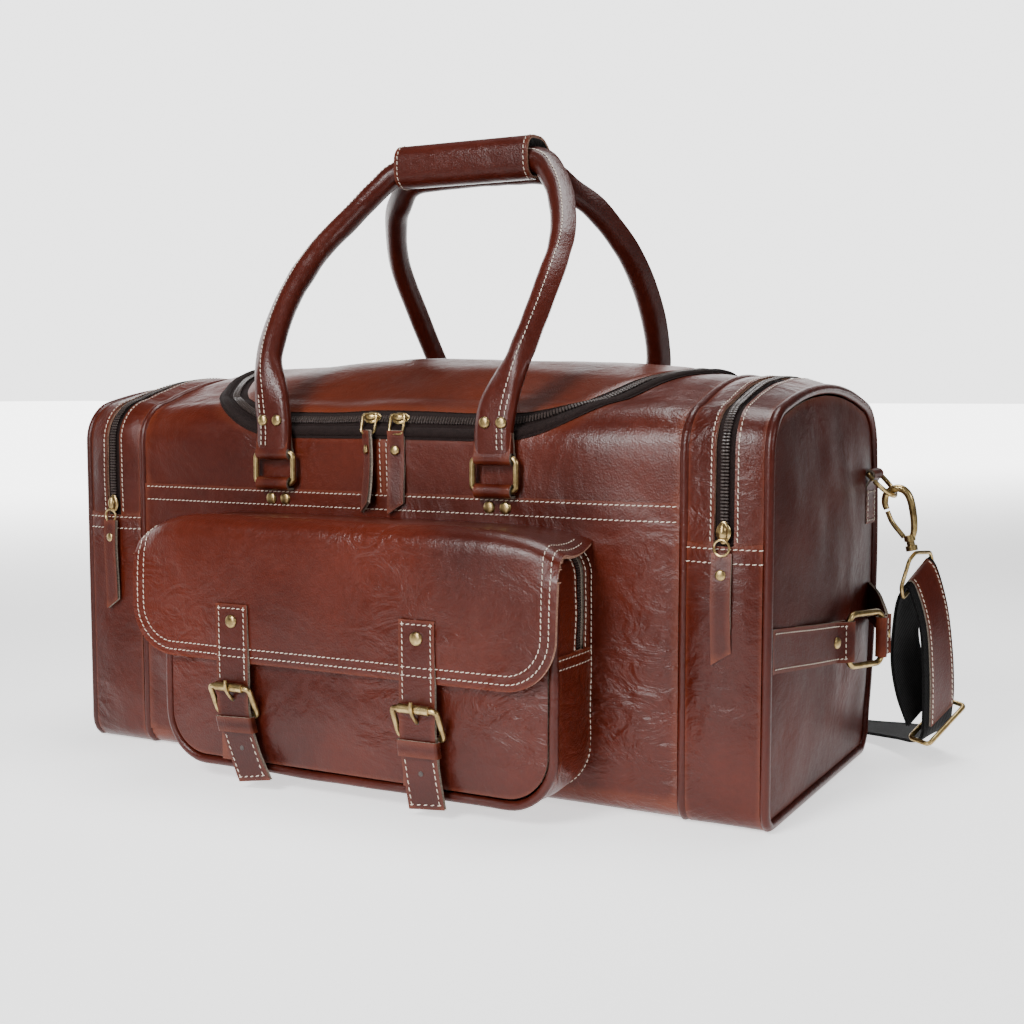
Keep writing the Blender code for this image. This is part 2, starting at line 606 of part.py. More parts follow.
# The shoulder strap's route: sewn end at the adjuster, up the inner run, over the wire loop, down the
# outer run, along the floor behind the bag, and up to the other hook. Each point has the strap's width
# direction.
STRAP_ROUTE = [
    ((0.3210, 0.1130, 0.0365), (0.34, 0.80, 0.48)), ((0.3135, 0.1100, 0.0580), (0.30, 0.82, 0.48)),
    ((0.3085, 0.1090, 0.0830), (0.25, 0.85, 0.48)), ((0.3090, 0.1095, 0.1080), (0.25, 0.85, 0.48)),
    ((0.3117, 0.1110, 0.1320), (0.25, 0.85, 0.48)), ((0.3168, 0.1110, 0.1410), (0.25, 0.85, 0.48)),
    ((0.3222, 0.1115, 0.1330), (0.25, 0.85, 0.48)), ((0.3290, 0.1125, 0.1080), (0.25, 0.85, 0.48)),
    ((0.3325, 0.1130, 0.0760), (0.30, 0.82, 0.48)), ((0.3335, 0.1140, 0.0480), (0.34, 0.80, 0.46)),
    ((0.3325, 0.1160, 0.0290), (0.36, 0.80, 0.40)), ((0.3270, 0.1230, 0.0185), (0.45, 0.75, 0.22)),
    ((0.3120, 0.1400, 0.0130), (0.60, 0.72, 0.14)), ((0.2850, 0.1620, 0.0080), (0.50, 0.84, 0.08)),
    ((0.2400, 0.1860, 0.0030), (0.35, 0.94, 0.0)), ((0.1600, 0.2120, 0.0020), (0.22, 0.98, 0.0)),
    ((0.0700, 0.2270, 0.0020), (0.08, 1.0, 0.0)), ((-0.0300, 0.2290, 0.0020), (-0.06, 1.0, 0.0)),
    ((-0.1300, 0.2190, 0.0020), (-0.18, 0.98, 0.0)), ((-0.2200, 0.1960, 0.0030), (-0.34, 0.94, 0.0)),
    ((-0.2800, 0.1660, 0.0080), (-0.50, 0.84, 0.08)), ((-0.3150, 0.1380, 0.0220), (-0.50, 0.80, 0.25)),
    ((-0.3290, 0.1200, 0.0480), (-0.35, 0.82, 0.40)), ((-0.3280, 0.1130, 0.0820), (-0.25, 0.85, 0.48)),
    ((-0.3220, 0.1110, 0.1110), (-0.25, 0.85, 0.48)), ((-0.3165, 0.1105, 0.1240), (-0.25, 0.85, 0.48)),
]
LEATHER_FROM, LEATHER_TO = 5, 9   # stations of the route that the leather facing covers
HOOK_AXIS = Vector((0.219, 0.0, -0.976))
HOOK_TOP = Vector((0.2999, DRING_Y, 0.2030))


def end_fittings(side, sign):
    mirror = lambda p: (sign * p[0], p[1], p[2])
    line = [(mirror(p), w) for p, w in GRAB_LINE]
    ribbon(f"grab_strap_{side}", line, 0.028, 0.003, BROWN)
    middle, tilt = Vector((0.3029, 0.022, 0.1045)), Vector((0.03, 1.0, 0)).normalized()
    outline = rounded_rectangle(0.0165, -0.0185, 0.0185, 0.006, 0.006)
    wire(f"grab_ring_{side}", [mirror(middle + tilt * a + Vector((0, 0, b))) for a, b in outline], 0.0021,
         BRASS, closed=True)

    px, pz = DRING_PIVOT
    base = HALF_LENGTH + GAP
    tab = [(base, pz - 0.037), (base + 0.003, pz - 0.037), (base + 0.003, pz - 0.006)]
    tab += arc((px, pz), 0.0042, radians(-60), radians(180), 8) + [(base, pz)]
    eye = arc((px, pz), 0.0022, 0, -2 * pi, 10)[:-1]
    shape = [[(sign * a, b) for a, b in tab], [(sign * a, b) for a, b in eye]]
    plate(f"dring_tab_{side}", shape, "y", DRING_Y - 0.0125, DRING_Y + 0.0125, BROWN)

    hang = Vector((sin(radians(45)), 0, -cos(radians(45))))
    bow = [(-0.0155, 0.0)] + [(0.0155 * cos(a), 0.006 + 0.016 * sin(a)) for a in
                              (i * pi / 10 for i in range(11))]
    bow = [(0.0155, 0.0)] + bow[1:] + [(-0.0155, 0.0)]
    points = [Vector((px, DRING_Y, pz)) + Vector((0, a, 0)) + hang * b for a, b in bow]
    dring = wire(f"dring_{side}", [mirror(p) for p in points], 0.0017, BRASS, closed=True)
    joint(f"dring_{side}_axis", mirror((px, DRING_Y, pz)), [dring])

    out = Vector((-HOOK_AXIS.z, 0, HOOK_AXIS.x))
    spot = lambda across, down: mirror(HOOK_TOP + out * across + HOOK_AXIS * down)
    stem = [(0.0045, 0.0400), (0.0085, 0.0330), (0.0105, 0.0220), (0.0105, 0.0085), (0.0070, 0.0015),
            (0.0010, -0.0004), (-0.0056, 0.0022), (-0.0082, 0.0085), (-0.0078, 0.0135)]
    stem = [Vector((a, b, 0)) for a, b in stem]
    hook = to_mesh(wire(f"snap_hook_{side}", [spot(p.x, p.y) for p in smooth(stem, 2)], 0.0021, BRASS), BRASS)
    boolean(hook, rod(f"swivel_{side}", spot(0.0045, 0.0355), spot(0.0045, 0.0470), 0.0042, None), "UNION")
    gate = wire(f"hook_gate_{side}", [spot(-0.0074, 0.0165), spot(-0.0052, 0.0240), spot(-0.0012, 0.0350)],
                0.0014, BRASS)
    neck = Vector(spot(0.0045, 0.0478))
    swivel = joint(f"hook_{side}_axis", neck, [hook])
    joint(f"hook_gate_{side}_axis", spot(-0.0012, 0.0345), [gate], swivel)

    across = Vector((0.25 * sign, 0.85, 0.48)).normalized()
    foot = Vector(mirror((0.3167, 0.1110, 0.1355)))
    crown = neck + Vector((0, 0, -0.0033))
    up = crown - foot
    up = (up - across * up.dot(across)).normalized()
    loop = [foot - across * 0.0245, foot + across * 0.0245, foot + across * 0.0240 + up * 0.0090,
            crown + across * 0.0050, crown - across * 0.0050, foot - across * 0.0240 + up * 0.0090]
    wire(f"strap_loop_{side}", loop, 0.0014, BRASS, closed=True)


def shoulder_strap():
    ribbon("shoulder_webbing", STRAP_ROUTE, 0.038, 0.0024, BLACK)
    ribbon("shoulder_leather", STRAP_ROUTE, 0.029, 0.0014, BROWN, lift=0.0023, span=(LEATHER_FROM, LEATHER_TO))
    middle = Vector((0.3325, 0.1158, 0.0290))
    across = Vector((0.36, 0.80, 0.47)).normalized()
    through = Vector((0.87, -0.30, -0.15)).normalized()
    outline = rounded_rectangle(0.0245, -0.0080, 0.0080, 0.003, 0.003)
    wire("strap_adjuster", [middle + across * a + through * b for a, b in outline], 0.0017, BRASS, closed=True)


# ---- the bag ----------------------------------------------------------------------------------------
lid_axis = joint("lid_axis", (0, HINGE_Y, 0.2660), main_compartment())
zip_sliders(lid_axis)
for side, sign in (("left", -1), ("right", 1)):
    end_pocket(side, sign)
    end_fittings(side, sign)
front_pocket()
flap_and_straps()
handles()
shoulder_strap()
for piece in PARTS.objects:
    if piece.type == "MESH" and len(piece.data.polygons) > 40:
        piece.data.shade_smooth()
        piece.data.set_sharp_from_angle(angle=radians(35))
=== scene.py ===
"""Looks of the leather weekender bag, built round its CAD frame. Metres, +Z up, front towards -Y.

Every leather piece is a sheet with thickness, made as a grid of points: outer face, lining side and cut
rim. Stitches, rivets and zip teeth are gathered per body and built as one mesh each at the end."""

from math import cos, pi, radians, sin, tan

import bpy
import numpy as np
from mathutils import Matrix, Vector


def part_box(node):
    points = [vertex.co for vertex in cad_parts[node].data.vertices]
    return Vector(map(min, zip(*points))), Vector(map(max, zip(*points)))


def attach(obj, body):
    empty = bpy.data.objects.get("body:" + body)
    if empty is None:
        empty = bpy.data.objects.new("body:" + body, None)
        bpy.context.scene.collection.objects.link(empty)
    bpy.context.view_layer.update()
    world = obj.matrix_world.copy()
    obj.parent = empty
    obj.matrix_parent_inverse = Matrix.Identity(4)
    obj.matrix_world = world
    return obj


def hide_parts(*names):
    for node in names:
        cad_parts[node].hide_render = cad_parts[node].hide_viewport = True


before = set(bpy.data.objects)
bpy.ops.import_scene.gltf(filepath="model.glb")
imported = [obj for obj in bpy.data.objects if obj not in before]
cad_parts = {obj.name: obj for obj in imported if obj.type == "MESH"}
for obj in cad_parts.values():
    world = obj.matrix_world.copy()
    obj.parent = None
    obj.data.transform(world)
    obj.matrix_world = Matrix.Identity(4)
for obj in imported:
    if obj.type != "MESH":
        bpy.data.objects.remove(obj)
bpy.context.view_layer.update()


# ---- driving dimensions, from the CAD boxes ----
def low(node, axis):
    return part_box(node)[0]["xyz".index(axis)]


def high(node, axis):
    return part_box(node)[1]["xyz".index(axis)]


def mid(node, axis):
    return (high(node, axis) + low(node, axis)) / 2


HALF_DEPTH = high("rear_panel", "y")
HALF_LENGTH = 0.280
SEAM_X = 0.2222
END_PIPE_X = 0.2768
SEAM_Z = high("front_panel", "z")
CORNER_Z, TOP_RADIUS, BASE_RADIUS = 0.236, 0.030, 0.016
CROWN, EXTRA_DOME = radians(14), 0.0193
PIPING = 0.0034
RIM_BULGE = 0.35
THICK = 0.0022
HINGE_Y = high("lid", "y")
RING_X = mid("handle_ring_front_right", "x")
RING_Y = mid("handle_ring_rear_right", "y")
RING_LOW_Z = low("handle_ring_front_right", "z") + 0.002
RING_HIGH_Z = high("handle_ring_front_right", "z") - 0.002
FRONT_GRIP, REAR_GRIP = (-0.010, 0.4475), (0.010, 0.4405)
END_ZIP_X = mid("end_zip_right", "x")
END_ZIP_Z = low("end_zip_right", "z")
FLAP_X = mid("pocket_flap", "x")
FLAP_HALF = (high("pocket_flap", "x") - low("pocket_flap", "x")) / 2
FLAP_LOW_Z = low("pocket_flap", "z")
STRAP_X = {side: mid(f"flap_strap_{side}", "x") for side in ("left", "right")}
STRAP_HALF = (high("flap_strap_left", "x") - low("flap_strap_left", "x")) / 2
SIDES = (("left", -1), ("right", 1))
SEWN_X, SEWN_Z = SEAM_X - 0.0027, 0.0135
FOLD_HALF, RIVET_GAP = 0.0138, 0.0062


# ---- materials ----
def put(tree, value, socket):
    """Sets a socket to a constant, or links it to the socket that feeds it."""
    if isinstance(value, bpy.types.NodeSocket):
        tree.links.new(value, socket)
    else:
        socket.default_value = value


def fill(tree, made, **inputs):
    for key, value in inputs.items():
        put(tree, value, made.inputs[key.replace("_", " ")])
    return made


def node(tree, kind, props=None, **inputs):
    made = tree.nodes.new("ShaderNode" + kind)
    for key, value in (props or {}).items():
        setattr(made, key, value)
    return fill(tree, made, **inputs)


def operate(tree, kind, operation, *values):
    """A math node, of numbers or of vectors, whose inputs are fed in order."""
    made = node(tree, kind, {"operation": operation})
    for value, socket in zip(values, made.inputs):
        put(tree, value, socket)
    return made.outputs["Value" if operation == "DOT_PRODUCT" or kind == "Math" else "Vector"]


def mix(tree, factor, a, b, way="MIX"):
    made = node(tree, "Mix", {"data_type": "RGBA", "blend_type": way}, Factor=factor)
    put(tree, a, made.inputs[6])
    put(tree, b, made.inputs[7])
    return made.outputs[2]


def noise(tree, place, scale, detail, **more):
    return node(tree, "TexNoise", Vector=place, Scale=scale, Detail=detail, **more).outputs["Fac"]


def bump(tree, height, strength, distance, **under):
    return node(tree, "Bump", Strength=strength, Distance=distance, Height=height, **under).outputs[0]


def span(tree, value, to_low, to_high, start=0.0, end=1.0, smooth=False):
    """Maps a value from start..end to low..high."""
    props = {"interpolation_type": "SMOOTHSTEP"} if smooth else {}
    return node(tree, "MapRange", props, Value=value, From_Min=start, From_Max=end, To_Min=to_low,
                To_Max=to_high).outputs["Result"]


def ramp(tree, factor, *stops):
    made = node(tree, "ValToRGB", Fac=factor)
    elements = made.color_ramp.elements
    while len(elements) < len(stops):
        elements.new(0.5)
    for element, (at, colour) in zip(elements, stops):
        element.position = at
        element.color = (*colour, 1.0)
    return made.outputs["Color"]


def blank(name, roughness, metallic=0.0):
    made = bpy.data.materials.new(name)
    made.use_nodes = True
    tree = made.node_tree
    shader = fill(tree, tree.nodes["Principled BSDF"], Roughness=roughness, Metallic=metallic)
    return made, tree, shader, node(tree, "TexCoord").outputs["Object"]


def leather(name, dark, light, folds=1.0, ior=1.36, dull=0.0):
    """Full-grain leather: clouded tone, soft folds, fine pebbled grain, rubbed paler on its edges."""
    made, tree, shader, place = blank(name, 0.4)
    fine = noise(tree, place, 260.0, 3.0)
    tone = ramp(tree, noise(tree, place, 9.0, 4.0), (0.32, dark), (0.68, light))
    shade = ramp(tree, fine, (0.35, (0.62, 0.58, 0.56)), (0.65, (1, 1, 1)))
    mottled = mix(tree, 0.35, tone, shade, "MULTIPLY")
    edges = ramp(tree, node(tree, "NewGeometry").outputs["Pointiness"], (0.52, (0, 0, 0)), (0.60, (1, 1, 1)))
    worn = mix(tree, span(tree, edges, 0.0, 0.30), mottled, (0.26, 0.065, 0.028, 1.0))
    drawn = operate(tree, "VectorMath", "MULTIPLY", place, (24.0, 34.0, 38.0))
    wrinkle = noise(tree, drawn, 1.0, 4.0, Roughness=0.55, Distortion=2.2)
    patches = span(tree, noise(tree, place, 7.5, 1.0), 0.02, 0.42 * folds, 0.48, 0.68, True)
    cells = node(tree, "TexVoronoi", {"feature": "SMOOTH_F1"}, Vector=place, Scale=850.0).outputs["Distance"]
    face = bump(tree, noise(tree, place, 15.0, 4.0, Roughness=0.5, Distortion=0.5), 0.40 * folds, 0.008)
    face = bump(tree, wrinkle, patches, 0.0060, Normal=face)
    face = bump(tree, cells, 0.26, 0.0006, Normal=face)
    face = bump(tree, noise(tree, place, 1900.0, 2.0), 0.12, 0.0004, Normal=face)
    fill(tree, shader, Base_Color=worn, Roughness=span(tree, fine, 0.24 + dull, 0.42 + dull), IOR=ior,
         Normal=face, Coat_Weight=0.03, Coat_Roughness=0.22)
    return made


def woven(name, colour, lighter, threads):
    """Woven tape: fine ribs two ways."""
    made, tree, shader, place = blank(name, 0.75)
    ribs = node(tree, "TexWave", {"bands_direction": "DIAGONAL"}, Vector=place, Scale=threads,
                Distortion=0.6).outputs["Fac"]
    tone = ramp(tree, noise(tree, place, 900.0, 2.0), (0.3, colour), (0.7, lighter))
    fill(tree, shader, Base_Color=tone, Normal=bump(tree, ribs, 0.5, 0.0006), Specular_IOR_Level=0.12)
    return made


def antique_brass(name):
    """Brass mottled at random between dark patina and bright metal, rougher where it is dark."""
    made, tree, shader, place = blank(name, 0.3, 1.0)
    patina = noise(tree, place, 160.0, 5.0, Roughness=0.65)
    tone = ramp(tree, patina, (0.30, (0.16, 0.105, 0.045)), (0.55, (0.42, 0.30, 0.13)),
                (0.80, (0.66, 0.52, 0.27)))
    fill(tree, shader, Base_Color=tone, Roughness=span(tree, patina, 0.42, 0.20),
         Normal=bump(tree, noise(tree, place, 1400.0, 3.0), 0.10, 0.0003))
    return made


def plain(name, dark, light, roughness, scale, rough_skin=0.2):
    """Edge paint, thread or plastic: two close tones and a fine bump."""
    made, tree, shader, place = blank(name, roughness)
    speck = noise(tree, place, scale, 3.0)
    fill(tree, shader, Base_Color=ramp(tree, speck, (0.35, dark), (0.65, light)),
         Normal=bump(tree, speck, rough_skin, 0.0004))
    return made


HIDE = leather("leather", (0.040, 0.0042, 0.0014), (0.082, 0.0092, 0.0022))
SOFT_HIDE = leather("leather_soft", (0.038, 0.0040, 0.0014), (0.076, 0.0084, 0.0022), folds=1.5)
# Darker copy of the soft leather for the ends: its darker colour is painted shade on the bag's ends; its
# lower gloss is real.
SHADED_END_HIDE = leather("leather_end", (0.032, 0.0036, 0.0014), (0.062, 0.0070, 0.0022), folds=0.7, ior=1.2,
                   dull=0.18)
# Lighter copy of the leather for the lid: its extra lightness is painted light on the bag's upward-facing
# top.
LIT_LID_HIDE = leather("leather_lid", (0.056, 0.0070, 0.0014), (0.096, 0.0130, 0.0024), folds=0.6)
STRAP_HIDE = leather("leather_strap", (0.036, 0.0038, 0.0014), (0.066, 0.0074, 0.0024), folds=0.5)
END_STRAP = leather("leather_end_strap", (0.036, 0.0038, 0.0014), (0.066, 0.0074, 0.0024), folds=0.4, ior=1.2,
                    dull=0.15)
EDGE = plain("cut_edge", (0.105, 0.080, 0.060), (0.210, 0.168, 0.132), 0.85, 900.0)
PALE_EDGE = plain("raw_edge", (0.20, 0.095, 0.060), (0.34, 0.185, 0.130), 0.85, 900.0)
THREAD = plain("thread", (0.50, 0.41, 0.33), (0.72, 0.64, 0.54), 0.7, 1500.0, 0.5)
LINING = woven("lining", (0.030, 0.026, 0.023), (0.055, 0.048, 0.043), 260.0)
TAPE = woven("zip_tape", (0.0075, 0.0040, 0.0036), (0.0170, 0.0095, 0.0085), 420.0)
WEBBING = woven("webbing", (0.0040, 0.0040, 0.0042), (0.0110, 0.0105, 0.0105), 210.0)
COIL = plain("zip_coil", (0.022, 0.014, 0.012), (0.050, 0.036, 0.031), 0.34, 700.0)
BRASS = antique_brass("antique_brass")


# ---- mesh making ----
def unit(v):
    return v / np.maximum(np.linalg.norm(v, axis=-1, keepdims=True), 1e-12)


def blend(a, b, t):
    return a * (1 - t) + b * t


def eased(t):
    return t * t * (3 - 2 * t)


def travelled(path):
    """Distance along a path at each of its points."""
    return np.concatenate([[0], np.cumsum(np.linalg.norm(np.diff(path, axis=0), axis=1))])


def tube_faces(rows, sides, start=0, closed=False):
    """Quads round a row of rings, and caps at its ends unless it is closed."""
    faces = []
    for i in range(rows if closed else rows - 1):
        a, b = start + i * sides, start + (i + 1) % rows * sides
        faces += [(a + k, a + (k + 1) % sides, b + (k + 1) % sides, b + k) for k in range(sides)]
    if not closed:
        faces += [tuple(range(start, start + sides))[::-1]]
        faces += [tuple(range(start + (rows - 1) * sides, start + rows * sides))]
    return faces


def mesh(name, verts, faces, materials, body, replaces=(), which=None, sharp=42):
    """A mesh piece that rides on a body and stands for the CAD nodes that it replaces."""
    data = bpy.data.meshes.new(name)
    data.from_pydata([tuple(map(float, v)) for v in verts], [], faces)
    for m in materials:
        data.materials.append(m)
    if which is not None:
        data.polygons.foreach_set("material_index", which)
    data.shade_smooth()
    data.set_sharp_from_angle(angle=radians(sharp))
    made = bpy.data.objects.new(name, data)
    bpy.context.scene.collection.objects.link(made)
    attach(made, body)
    if replaces:
        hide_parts(*replaces)
    return made


def sheet(name, grid, thickness, body, replaces=(), top=None, under=None, rim=None, around=False, flip=False):
    """A sheet of leather from a grid of points on its outer face, with a rounded cut rim. Around closes the
    grid along its first direction."""
    grid = np.asarray(grid, float)
    rows, cols = grid.shape[:2]
    along = np.roll(grid, -1, 0) - np.roll(grid, 1, 0) if around else np.gradient(grid, axis=0)
    normal = unit(np.cross(along, np.gradient(grid, axis=1))) * (-1 if flip else 1)
    back = grid - normal * thickness
    verts = list(grid.reshape(-1, 3)) + list(back.reshape(-1, 3))
    index = np.arange(rows * cols).reshape(rows, cols)
    faces, which = [], []
    for i in range(rows if around else rows - 1):
        j = (i + 1) % rows
        for k in range(cols - 1):
            a, b, c, d = index[i, k], index[j, k], index[j, k + 1], index[i, k + 1]
            quad = (a, d, c, b) if flip else (a, b, c, d)
            faces += [quad, tuple(v + rows * cols for v in reversed(quad))]
            which += [0, 1]
    if around:
        edges = [(index[:, 0], -1), (index[:, -1], 1)]
    else:
        edges = [(np.concatenate([index[:-1, 0], index[-1, :-1], index[:0:-1, -1], index[0, :0:-1]]), -1)]
    for border, side in edges:
        ring = np.array([verts[v] for v in border])
        across = np.array([verts[v + rows * cols] for v in border])
        ahead = unit(np.roll(ring, -1, 0) - np.roll(ring, 1, 0))
        out = unit(np.cross(ahead, unit(ring - across))) * (-side if flip else side)
        start, turn = len(verts), (side > 0) == bool(flip)
        verts += list((ring + across) / 2 + out * thickness * RIM_BULGE)
        for i, (a, b) in enumerate(zip(border, np.roll(border, -1))):
            m, n = start + i, start + (i + 1) % len(border)
            for quad in ((a, m, n, b), (m, a + rows * cols, b + rows * cols, n)):
                faces.append(quad if turn else quad[::-1])
                which.append(2)
    return mesh(name, verts, faces, [top or HIDE, under or LINING, rim or EDGE], body, replaces, which)


def strap(name, grid, thickness, body, replaces=(), **more):
    return sheet(name, grid, thickness, body, replaces, top=STRAP_HIDE, rim=EDGE, **more)


def frames(path, hint, closed=False):
    """Tangent, side and up for each point of a path; up leans towards the hint."""
    path = np.asarray(path, float)
    if closed:
        ahead = unit(np.roll(path, -1, 0) - np.roll(path, 1, 0))
    else:
        ahead = unit(np.gradient(path, axis=0))
    hint = np.broadcast_to(np.asarray(hint, float), path.shape)
    up = unit(hint - ahead * np.sum(hint * ahead, axis=1, keepdims=True))
    return path, ahead, unit(np.cross(ahead, up)), up


def sweep(name, path, hint, outlines, materials, body, replaces=(), closed=False, sharp=42):
    """Carries an outline, or one outline for each point, along a path. Outline points are (side, up)."""
    path, _, side, up = frames(path, hint, closed)
    outlines = np.asarray(outlines, float)
    if outlines.ndim == 2:
        outlines = np.broadcast_to(outlines, (len(path), *outlines.shape))
    rings = path[:, None] + side[:, None] * outlines[..., :1] + up[:, None] * outlines[..., 1:]
    faces = tube_faces(*rings.shape[:2], closed=closed)
    return mesh(name, rings.reshape(-1, 3), faces, materials, body, replaces, sharp=sharp)


def circle(radius, sides=12, squeeze=1.0):
    return [(radius * cos(a), radius * squeeze * sin(a)) for a in (2 * pi * i / sides for i in range(sides))]


def wire(name, path, hint, radius, body, replaces=(), closed=True, sides=12):
    return sweep(name, path, hint, circle(radius, sides), [BRASS], body, replaces, closed=closed)


def curve(points, steps=8):
    """Catmull-Rom curve through the points."""
    pts = np.asarray(points, float)
    pts = np.concatenate([2 * pts[:1] - pts[1:2], pts, 2 * pts[-1:] - pts[-2:-1]])
    line = []
    for a, b, c, d in zip(pts, pts[1:], pts[2:], pts[3:]):
        for t in np.arange(steps) / steps:
            line.append(0.5 * (2 * b + (c - a) * t + (2 * a - 5 * b + 4 * c - d) * t * t
                               + (3 * b - a - 3 * c + d) * t ** 3))
    return np.array([*line, pts[-2]])


def rounded(corners, radius, steps):
    """A closed path through the corners, which are rounded off."""
    line = []
    for i, c in enumerate(corners):
        a, b = (c + unit(other - c) * radius for other in (corners[i - 1], corners[(i + 1) % len(corners)]))
        line += [a * (1 - t) ** 2 + 2 * c * t * (1 - t) + b * t * t for t in np.linspace(0, 1, steps)]
    return np.array(line)


def band(line, middle, half, columns):
    """Grid of a strap that keeps its width along x; its line is (y, z)."""
    return [[(middle + w, y, z) for w in np.linspace(-half, half, columns)] for y, z in line]


def corner_cut(radius, from_edge):
    """How far a rounded corner falls short at this distance from the edge."""
    return radius - np.sqrt(np.maximum(radius ** 2 - np.maximum(radius - from_edge, 0) ** 2, 0))


def arc(centre, radius, start, end, steps):
    return [(centre[0] + radius * cos(a), centre[1] + radius * sin(a))
            for a in (start + (end - start) * i / steps for i in range(steps + 1))]


def rounded_box(half_x, bottom, top, r_bottom, r_top, middle=0.0, steps=6):
    """Closed outline, anticlockwise from the lower left corner."""
    corners = [(middle - half_x + r_bottom, bottom + r_bottom, r_bottom),
               (middle + half_x - r_bottom, bottom + r_bottom, r_bottom),
               (middle + half_x - r_top, top - r_top, r_top), (middle - half_x + r_top, top - r_top, r_top)]
    return [p for i, (x, z, r) in enumerate(corners)
            for p in arc((x, z), r, pi + i * pi / 2, 1.5 * pi + i * pi / 2, steps)]


def resample(path, count=None, pitch=None, closed=False):
    path = np.asarray(path, float)
    if closed:
        path = np.concatenate([path, path[:1]])
    s = travelled(path)
    count = count or max(int(round(s[-1] / pitch)), 2)
    at = np.linspace(0, s[-1], count, endpoint=not closed)
    return np.stack([np.interp(at, s, path[:, i]) for i in range(path.shape[1])], axis=1)


def ripple(points, wavelength, seed):
    """Smooth, repeatable unevenness between about -1 and 1."""
    rng = np.random.default_rng(seed)
    total = 0
    for _ in range(7):
        way = unit(rng.normal(size=3)) * 2 * pi / wavelength * rng.uniform(0.6, 1.5)
        total = total + np.sin(points @ way + rng.uniform(0, 2 * pi))
    return total / 3.2


# ---- thread, rivets and teeth, gathered by body ----
GATHERED = {}
STITCH_PITCH, STITCH_LENGTH, THREAD_RADIUS, RIVET_SIDES = 0.0038, 0.0028, 0.00034, 20
PROFILES = {
    "stitching": [(-1.0, 0.45), (-0.55, 1.0), (0.55, 1.0), (1.0, 0.45)],
    "zip_teeth": [(-1.0, 0.7), (-0.6, 1.0), (0.6, 1.0), (1.0, 0.7)],
}


def grains(kind, body, centres, along, normal, length, radius, sides=6):
    """Small rounded rods, such as stitches or teeth, laid along the given directions."""
    centres, along, normal = (np.broadcast_to(np.asarray(v, float), np.shape(centres)) for v in
                              (centres, along, normal))
    along = unit(along)
    normal = unit(normal - along * np.sum(normal * along, axis=1, keepdims=True))
    side = np.cross(along, normal)
    verts, faces = GATHERED.setdefault((kind, body), ([], []))
    shape = np.array([(a * length / 2, c * b * radius, d * b * radius) for a, b in PROFILES[kind]
                      for c, d in circle(1.0, sides)])
    for c, u, v, w in zip(centres, along, side, normal):
        faces += tube_faces(len(PROFILES[kind]), sides, len(verts))
        verts += list(c + shape[:, :1] * u + shape[:, 1:2] * v + shape[:, 2:] * w)


def nearest(line, points, values):
    """For each point of a line, the value of the nearest of the points."""
    return values[np.argmin(np.linalg.norm(line[:, None] - points[None], axis=2), axis=1)]


def stitch(body, path, normal):
    """A row of stitches along a path. Each leans a little across the row, as a lockstitch does."""
    path = np.asarray(path, float)
    normal = np.broadcast_to(np.asarray(normal, float), path.shape)
    line = resample(path, pitch=STITCH_PITCH)
    up = unit(nearest(line, path, normal))
    lean = unit(np.gradient(line, axis=0))
    lean = lean + np.cross(up, lean) * 0.16
    grains("stitching", body, line + up * 0.00012, lean, up, STITCH_LENGTH, THREAD_RADIUS)


def rivet(body, centre, normal, radius=0.0042, height=0.0016):
    """A domed cap with a flat rim."""
    profile = [(1.0, 0.0), (1.0, 0.35), (0.92, 0.62), (0.70, 0.85), (0.35, 1.0)]
    normal = unit(np.asarray(normal, float))
    side = unit(np.cross(normal, (0.0, 0.3, 1.0)))
    other = np.cross(normal, side)
    verts, faces = GATHERED.setdefault(("rivets", body), ([], []))
    faces += tube_faces(len(profile), RIVET_SIDES, len(verts))
    for r, h in profile:
        verts += [np.asarray(centre) + side * a + other * b + normal * height * h
                  for a, b in circle(radius * r, RIVET_SIDES)]


def build_gathered():
    for (kind, body), (verts, faces) in GATHERED.items():
        surface = {"stitching": THREAD, "zip_teeth": COIL, "rivets": BRASS}[kind]
        mesh(f"{kind}_{body}", verts, faces, [surface], body)


# ---- the skin: a closed outline carried along an axis ----
class Skin:
    """A closed outline carried along an axis. s is the distance round it."""

    def __init__(self, outline, place, swell):
        pts = np.asarray(outline, float)
        pts = np.concatenate([pts, pts[:1]])
        self.s = travelled(pts)
        self.pts, self.length, self.place, self.swell = pts, self.s[-1], place, swell

    def base(self, along, s):
        s = np.mod(s, self.length)
        return self.place(along, np.interp(s, self.s, self.pts[:, 0]), np.interp(s, self.s, self.pts[:, 1]))

    def at(self, along, s, lift=0.0):
        """Points and outward normals."""
        along, s = np.broadcast_arrays(np.asarray(along, float), np.asarray(s, float))
        e = 0.0012
        ahead = self.base(along + e, s) - self.base(along - e, s)
        round_ = self.base(along, s + e) - self.base(along, s - e)
        normal = unit(np.cross(ahead, round_))
        point = self.base(along, s)
        point = point + normal * (self.swell(along, s, point)[..., None] + np.asarray(lift)[..., None])
        point[..., 2] = np.maximum(point[..., 2], 0.0002)
        return point, normal


def body_outline():
    """Starts on the front at the height of the base's corners and goes up, over and round."""
    corner = HALF_DEPTH - TOP_RADIUS
    dome_radius = TOP_RADIUS + corner / sin(CROWN)
    dome_z = CORNER_Z - corner / tan(CROWN)
    pts = [(-HALF_DEPTH, BASE_RADIUS)]
    pts += arc((-corner, CORNER_Z), TOP_RADIUS, pi, pi / 2 + CROWN, 16)
    pts += arc((0.0, dome_z), dome_radius, pi / 2 + CROWN, pi / 2 - CROWN, 40)[1:-1]
    pts += arc((corner, CORNER_Z), TOP_RADIUS, pi / 2 - CROWN, 0, 16)
    foot = HALF_DEPTH - BASE_RADIUS
    pts += arc((foot, BASE_RADIUS), BASE_RADIUS, 0, -pi / 2, 8)
    pts += arc((-foot, BASE_RADIUS), BASE_RADIUS, -pi / 2, -pi, 8)[:-1]
    return pts


